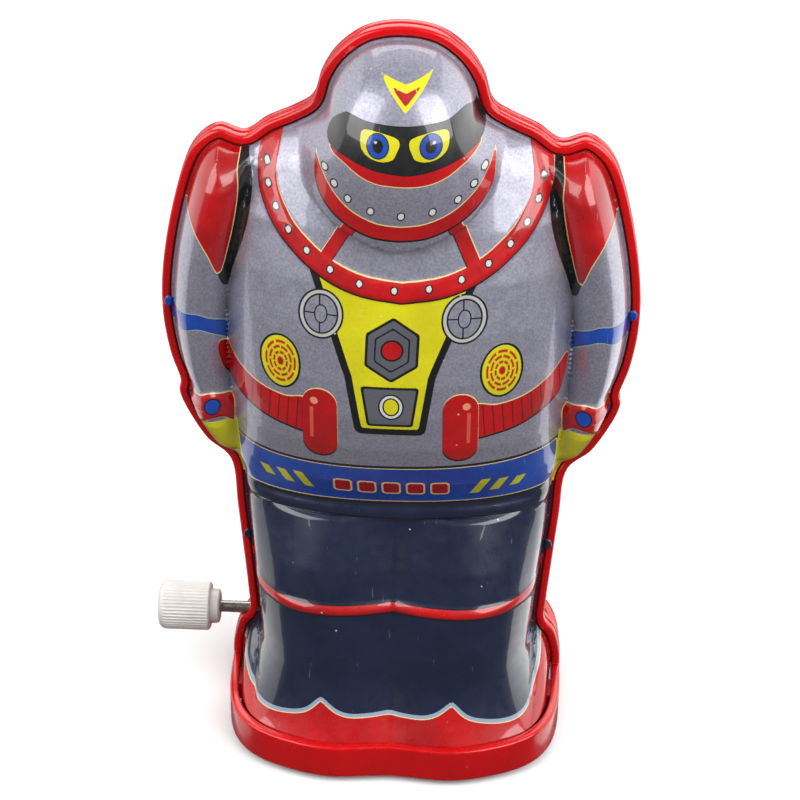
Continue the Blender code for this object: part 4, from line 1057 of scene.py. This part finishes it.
def tab_print(name, light, dark):
    """The printed ink on a folded tab, with bare tin where its edge has rubbed."""
    s = Shader(name)
    scuff = s.noise(1.2, 4.0, 0.7)
    rubbed = s.ramp(s.edges() + scuff * 0.2, 0.66, 0.72)
    s.set(Base_Color=s.mix(rubbed * 0.5, s.mix(s.ramp(scuff, 0.3, 0.7), light, dark), CHALK))
    s.set(Roughness=s.ramp(scuff, 0.3, 0.7, 0.24, 0.38), Coat_Weight=1.0, Coat_Roughness=0.05)
    s.set(Normal=s.bump(scuff, 0.01))
    return s.material


def half_outline_x(z):
    """The outline's |x| at a height on the arms or the legs."""
    half = LINE[:len(LINE) // 2]
    beside = half[half[:, 0] > 20.0]
    return float(beside[np.argmin(np.abs(beside[:, 1] - z)), 0])


def tab(name, side, x, z, mat):
    """A lug of the sheet folded over the rim: a rounded pad with a soft edge."""
    seat = FRAME_DEPTH + 0.08
    profile = ((0.0, 1.0), (0.16, 1.0), (0.27, 0.94), (0.34, 0.82), (0.38, 0.6), (0.4, 0.3))
    rings = []
    a = np.arange(28) * 2 * math.pi / 28
    wide, tall = TAB_HALF_WIDTH * np.cos(a), TAB_HALF_HEIGHT * np.sin(a)
    for rise, share in profile:
        level = np.full(len(a), side * (seat + rise))
        rings.append(np.column_stack([x + share * wide, level, z + share * tall]))
    return skin(name, rings, mat, 60.0)


def whole_shell(name, side, art_of, mat):
    """The pressed sheet with its four tabs as one piece."""
    parts = [tin_shell(name + "_sheet", side, LINE, art_of, mat)]
    for z, finish in zip(TAB_HEIGHTS, TAB_FINISHES):
        reach = half_outline_x(z) - TAB_HALF_WIDTH - 0.55
        for sign in (-1, 1):
            parts.append(tab(f"{name}_tab", side, sign * reach, z, finish))
    return joined(parts, name)


TAB_FINISHES = (tab_print("tab_blue", BLUE, BLUE_DEEP), tab_print("tab_navy", NAVY_DEEP, NAVY))
place(whole_shell("front_tin", -1, front_art, front_print()), "root", "front_shell")
place(whole_shell("rear_tin", 1, rear_art, rear_print()), "root", "rear_shell")


# ---- red casing
SHAFT_Z, SHAFT_RADIUS, SHAFT_HOLE = 15.1, 1.0, 1.35
TONGUE_X = (24.2, 26.65)
TONGUE_Z = (2.0, 9.0)
BOSS_X, BOSS_Y, BOSS_Z = (20.6, 27.2), (4.3, 8.7), (1.9, 5.1)


def block(name, low, high, mat, reach=0.2):
    """A box with rounded upright edges, for tongues and bosses."""
    corners = ((low[0], low[1]), (high[0], low[1]), (high[0], high[1]), (low[0], high[1]))
    outline = round_corners(corners, [reach] * 4, 3)
    inner = round_corners(corners, [reach * 1.6] * 4, 3) * 0.985 + np.mean(corners, axis=0) * 0.015
    foot, top = low[2], high[2]
    rings = []
    for points, z in ((inner, foot), (outline, foot + reach), (outline, top - reach), (inner, top)):
        rings.append(np.column_stack([points, np.full(len(points), z)]))
    return skin(name, rings, mat)


def frame_half(name, side):
    """One moulded half of the red frame: a rounded rim, a ledge for the tin and a chamfered parting."""
    corners = ((0.0, FRAME_DEPTH), (RIM_WIDTH, FRAME_DEPTH), (RIM_WIDTH, LEDGE_DEPTH),
               (LEDGE_WIDTH, LEDGE_DEPTH), (LEDGE_WIDTH, PARTING), (0.0, PARTING))
    section = round_corners(corners, (0.7, 0.3, 0.15, 0.2, 0.2, 0.3), 5)
    normal = inward_normals(LINE)
    rings = []
    for point, direction in zip(LINE, normal):
        flat = point + direction * section[:, :1]
        rings.append(np.stack([flat[:, 0], side * section[:, 1], flat[:, 1]], axis=1))
    rim = skin(name + "_rim", rings, RED_PLASTIC, 50.0)
    drilled = ((-32.0, SHAFT_HOLE), (-20.0, SHAFT_HOLE))
    hole = turned("shaft_tool", drilled, 48, (0.0, SHAFT_Z), RED_PLASTIC)
    cut(rim, [hole])
    parts = [rim]
    low, high = sorted((side * (PARTING + 0.1), side * (LEDGE_DEPTH - 0.1)))
    for sign in (-1, 1):
        x0, x1 = sorted(sign * x for x in TONGUE_X)
        parts.append(block("tongue", (x0, low, TONGUE_Z[0]), (x1, high, TONGUE_Z[1]), RED_PLASTIC))
    return joined(parts, name)


def base_outline(inset, count=320):
    """Evenly spaced points around the base at an inset from its outline."""
    width = BASE_HALF_WIDTH - inset
    a = np.linspace(0.0, math.pi / 2, 200)
    x = np.sort(np.concatenate([width * np.cos(a) ** (2 / BASE_POWER), np.linspace(0.0, width, 200)]))[::-1]
    quarter = np.stack([x, base_depth(x, inset)], axis=1)
    upper = np.vstack([quarter, quarter[::-1] * [-1, 1]])
    loop = np.vstack([upper, upper[::-1] * [1, -1]])
    length = np.concatenate([[0.0], np.cumsum(np.linalg.norm(np.diff(loop, axis=0), axis=1))])
    spots = np.arange(count) * length[-1] / count
    return np.stack([np.interp(spots, length, loop[:, k]) for k in (0, 1)], axis=1)


def base_skirt():
    """The moulded base: a rounded skirt with a rim that the tin's foot stands inside."""
    corners = ((0.0, 0.0), (0.0, BASE_HEIGHT), (SKIRT_WALL, BASE_HEIGHT), (SKIRT_WALL, 0.0))
    section = round_corners(corners, (0.35, 0.6, 0.3, 0.25), 5)
    rings = []
    for inset, z in section:
        flat = base_outline(max(inset, 0.0))
        rings.append(np.column_stack([flat, np.full(len(flat), z)]))
    skirt = skin("skirt", rings, RED_PLASTIC, 50.0, wrap=True)
    parts = [skirt]
    for sx in (-1, 1):
        for sy in (-1, 1):
            x0, x1 = sorted(sx * x for x in BOSS_X)
            y0, y1 = sorted(sy * y for y in BOSS_Y)
            parts.append(block("boss", (x0, y0, BOSS_Z[0]), (x1, y1, BOSS_Z[1]), RED_PLASTIC))
    return joined(parts, "base_skirt")


place(frame_half("front_rim", -1), "root", "front_frame")
place(frame_half("rear_rim", 1), "root", "rear_frame")
place(base_skirt(), "root", "base_housing")


# ---- winding key
KNOB_IN, KNOB_COLLAR, KNOB_OUT, KNOB_RADIUS, KNOB_FLUTES = -30.6, -32.2, -41.1, 4.25, 44
KNOB_BORE = 1.3


def knob_ripple(x, radius, a):
    """Fluting on the grip that fades out at the collar and on the domed end."""
    amount = smooth_step(KNOB_COLLAR + 0.05, KNOB_COLLAR - 0.6, x)
    amount *= smooth_step(KNOB_OUT + 0.15, KNOB_OUT + 1.5, x)
    return radius * (1.0 - 0.036 * amount * (0.5 - 0.5 * np.cos(KNOB_FLUTES * a)) ** 0.7)


def winding_knob():
    """The fluted nylon knob with a plain collar, a domed end and a bore for the shaft."""
    profile = [(-36.2, 0.4), (-36.2, KNOB_BORE), (KNOB_IN - 0.25, KNOB_BORE), (KNOB_IN, KNOB_BORE + 0.2),
               (KNOB_IN, 2.5), (KNOB_IN - 0.12, 2.82), (KNOB_IN - 0.4, 2.95), (KNOB_COLLAR + 0.25, 3.0),
               (KNOB_COLLAR + 0.05, 3.1), (KNOB_COLLAR, 3.35), (KNOB_COLLAR - 0.02, 3.7)]
    for k in range(7):
        a = math.pi / 2 * k / 6
        profile.append((KNOB_COLLAR - 0.55 * (1 - math.cos(a)), 3.7 + 0.55 * math.sin(a)))
    profile += [(x, KNOB_RADIUS) for x in np.linspace(KNOB_COLLAR - 1.2, KNOB_OUT + 1.5, 8)]
    for k in range(1, 9):
        a = math.pi / 2 * k / 8
        profile.append((KNOB_OUT + 1.4 * (1 - math.sin(a)), KNOB_RADIUS - 1.3 * (1 - math.cos(a))))
    profile += [(KNOB_OUT, 2.2), (KNOB_OUT + 0.03, 1.4), (KNOB_OUT + 0.1, 1.1), (KNOB_OUT + 0.13, 0.4)]
    return turned("winding_key", profile, KNOB_FLUTES * 5, (0.0, SHAFT_Z), NYLON, 50.0, knob_ripple)


def winding_shaft():
    """The steel shaft, chamfered at both ends, with faint turning grooves."""
    low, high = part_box("winding_shaft")
    x0, x1 = low.x / MM, high.x / MM
    profile = [(x0, 0.6), (x0 + 0.1, 0.85), (x0 + 0.35, SHAFT_RADIUS)]
    for k, x in enumerate(np.linspace(x0 + 0.8, x1 - 0.8, 90)):
        profile.append((x, SHAFT_RADIUS - 0.012 * (k % 2)))
    profile += [(x1 - 0.35, SHAFT_RADIUS), (x1 - 0.1, 0.85), (x1, 0.6)]
    return turned("winding_shaft_turned", profile, 48, (0.0, SHAFT_Z), STEEL)


place(winding_knob(), "winding", "winding_knob")
place(winding_shaft(), "winding", "winding_shaft")


# ---- wheels
def axis_of(node):
    """A CAD node's (y, z) middle, its x middle, half its width and its radius, in millimetres."""
    low, high = (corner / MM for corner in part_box(node))
    centre = ((low.y + high.y) / 2, (low.z + high.z) / 2)
    return centre, (low.x + high.x) / 2, (high.x - low.x) / 2, (high.z - low.z) / 2


def moulded_wheel(name, node, bore):
    """A wheel with a rounded rim, a dished web and a raised hub."""
    centre, middle, half, radius = axis_of(node)
    rim, hub = radius - 1.1, bore + 1.0
    face = ((half - 0.25, radius), (half, radius - 0.25), (half, rim + 0.1), (half - 0.15, rim),
            (half * 0.45, rim - 0.15), (half * 0.35, rim - 0.35), (half * 0.35, hub + 0.3),
            (half * 0.5, hub + 0.1), (half - 0.1, hub), (half, hub - 0.12), (half, bore + 0.1),
            (half - 0.1, bore))
    outer = [(middle - dx, r) for dx, r in face[::-1]] + [(middle + dx, r) for dx, r in face]
    return turned(name, outer, 72, centre, BLACK_PLASTIC, 35.0, wrap=True)


RIBS, POINTS_PER_RIB, RIB_DEPTH = 44, 4, 0.14


def ribbed_tyre(name, node, inner):
    """A rubber tyre with rounded shoulders and fine cross ribs."""
    centre, middle, half, radius = axis_of(node)
    shoulder = ((half - 0.4, radius), (half - 0.12, radius - 0.12), (half, radius - 0.35), (half, inner))
    section = [(middle - dx, r) for dx, r in shoulder[::-1]] + [(middle + dx, r) for dx, r in shoulder]
    count = RIBS * POINTS_PER_RIB
    groove = np.isin(np.arange(count) % POINTS_PER_RIB, (0, POINTS_PER_RIB - 1))

    def ribs(x, r, a):
        return r - RIB_DEPTH * groove * (r > inner + 0.1)

    return turned(name, section, count, centre, RUBBER, 35.0, ribs, wrap=True)


for end in ("left", "right"):
    wheel, tyre, roller = f"drive_wheel_{end}", f"drive_tyre_{end}", f"front_wheel_{end}"
    place(moulded_wheel(f"drive_hub_{end}", wheel, 1.02), "drive", wheel)
    place(ribbed_tyre(f"tyre_{end}", tyre, axis_of(wheel)[3] + 0.02), "drive", tyre)
    place(moulded_wheel(f"front_roller_{end}", roller, 0.78), "front_wheels", roller)


# ---- screws
def cross_screw(name, node):
    """A pan-head screw seen from below, with a cross recess in its head."""
    low, high = (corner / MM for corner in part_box(node))
    x, y = (low.x + high.x) / 2, (low.y + high.y) / 2
    z0, z1 = low.z, high.z
    head, shank = (high.x - low.x) / 2, 0.8
    profile = [(z0, 0.35), (z0 + 0.02, 0.8), (z0 + 0.09, 1.2), (z0 + 0.2, head - 0.08), (z0 + 0.32, head),
               (z0 + 0.48, head - 0.03), (z0 + 0.5, head - 0.1), (z0 + 0.5, shank)]
    for k in range(8):
        at = z0 + 0.7 + k * (z1 - z0 - 1.1) / 8
        profile += [(at, shank), (at + 0.12, shank - 0.18)]
    profile += [(z1 - 0.3, shank - 0.1), (z1, 0.3)]
    made = turned(name, profile, 36, (x, y), STEEL, 35.0, upright=True)
    tools = []
    for wide, deep in ((0.85, 0.16), (0.16, 0.85)):
        low, high = (x - wide, y - deep, z0 - 0.5), (x + wide, y + deep, z0 + 0.34)
        tools.append(block("recess", low, high, STEEL, 0.06))
    cut(made, tools)
    finish_mesh(made, 35.0)
    return made


SCREWS = [f"base_screw_{i}" for i in range(1, 5)] + ["motor_screw_left", "motor_screw_right"]
for node in SCREWS:
    place(cross_screw("cross_" + node, node), "root", node)


# ---- finishes of the works
POSTS = [f"motor_post_{i}" for i in range(1, 5)]
FINISHES = (
    (BRASS, ["main_gear", "drive_pinion", "second_gear", "second_pinion", "escape_wheel"]),
    (STEEL, ["escape_pinion", "ratchet_wheel", "click_pawl", "pallet", "drive_axle", "front_axle"]),
    (STEEL, ["second_arbor", "escape_arbor", "pallet_arbor"]),
    (SPRING, ["mainspring"]),
    (ZINC, ["motor_plate_left", "motor_plate_right"] + POSTS),
    (RED_PLASTIC, ["base_plate"]),
)
for finish, nodes in FINISHES:
    for node in nodes:
        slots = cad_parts[node].data.materials
        slots.clear()
        slots.append(finish)


# ---- floor, light and camera
FLOOR_Z = -1.3
FLOOR_REACH = 3000.0
SURROUND_ON_TOY, SURROUND_SEEN = 0.12, 0.95


def plain_floor():
    """A wide pale floor."""
    s = Shader("pale_floor")
    pale, paler = (0.86, 0.86, 0.865, 1.0), (0.9, 0.9, 0.9, 1.0)
    s.set(Base_Color=s.mix(s.noise(0.01, 2.0), pale, paler), Roughness=0.75)
    corners = [(u * FLOOR_REACH, v * FLOOR_REACH, FLOOR_Z) for u, v in ((-1, -1), (1, -1), (1, 1), (-1, 1))]
    made = make("floor", corners, [(0, 1, 2, 3)], [s.material])
    made.visible_glossy = False
    made.visible_diffuse = False


def soft_box(name, turn, height, distance, width, tall, watts, shine):
    """A soft box at an angle around from the front, facing the middle of the toy."""
    data = bpy.data.lights.new(name, "AREA")
    data.shape = "RECTANGLE"
    data.size = width * MM
    data.size_y = tall * MM
    data.energy = watts
    made = bpy.data.objects.new(name, data)
    angle = math.radians(turn)
    spot = Vector((distance * math.sin(angle), -distance * math.cos(angle), height))
    aim = Vector((0.0, 0.0, min(height, 60.0)))
    made.location = spot * MM
    made.rotation_euler = (aim - spot).to_track_quat("-Z", "Y").to_euler()
    made.visible_camera = False
    made.visible_glossy = shine
    bpy.context.scene.collection.objects.link(made)


# Name, degrees around from the front, height, distance, width, height of the box, watts,
# and whether it shows in reflections.
SOFT_BOXES = (
    ("left_box", -116.0, 20.0, 480.0, 640.0, 860.0, 1.5, True),
    ("right_box", 120.0, 20.0, 480.0, 600.0, 860.0, 2.4, True),
    ("left_high", -58.0, 300.0, 400.0, 440.0, 340.0, 1.6, True),
    ("right_high", 56.0, 300.0, 400.0, 440.0, 340.0, 2.0, True),
    ("front_box", 0.0, 600.0, 260.0, 800.0, 500.0, 2.3, False),
    ("rear_box", 180.0, 420.0, 420.0, 600.0, 400.0, 2.0, True),
)


def studio():
    """Tall soft boxes beside the toy, two over its shoulders, a wide one in front, and a dim surround."""
    for settings in SOFT_BOXES:
        soft_box(*settings)
    world = bpy.data.worlds.new("surround")
    bpy.context.scene.world = world
    world.use_nodes = True
    tree = world.node_tree
    back = tree.nodes["Background"]
    back.inputs["Color"].default_value = (1.0, 1.0, 1.0, 1.0)
    seen = tree.nodes.new("ShaderNodeLightPath").outputs["Is Camera Ray"]
    strength = tree.nodes.new("ShaderNodeMapRange")
    tree.links.new(seen, strength.inputs["Value"])
    strength.inputs["To Min"].default_value = SURROUND_ON_TOY
    strength.inputs["To Max"].default_value = SURROUND_SEEN
    tree.links.new(strength.outputs["Result"], back.inputs["Strength"])


def camera():
    """The camera looks down at the front from just right of the middle line."""
    pitch, turn, roll = math.radians(33.0), math.radians(2.366), math.radians(0.653)
    level = Vector((math.cos(turn), math.sin(turn), 0.0))
    ahead = Vector((-math.sin(turn), math.cos(turn), 0.0))
    forward = ahead * math.cos(pitch) - Vector((0.0, 0.0, math.sin(pitch)))
    upright = level.cross(forward)
    right = level * math.cos(roll) + upright * math.sin(roll)
    up = upright * math.cos(roll) - level * math.sin(roll)
    data = bpy.data.cameras.new("camera")
    data.lens = 110.7
    data.sensor_width = 36.0
    data.shift_x = 0.00125
    data.shift_y = 0.015
    data.clip_end = 20.0
    made = bpy.data.objects.new("camera", data)
    target = Vector((0.0, -1.8, 57.5))
    spot = (target - forward * 400.0) * MM
    turned = Matrix((right, up, -forward)).transposed().to_4x4()
    made.matrix_world = Matrix.Translation(spot) @ turned
    bpy.context.scene.collection.objects.link(made)
    bpy.context.scene.camera = made


plain_floor()
studio()
camera()
bpy.context.scene.view_settings.view_transform = "Standard"
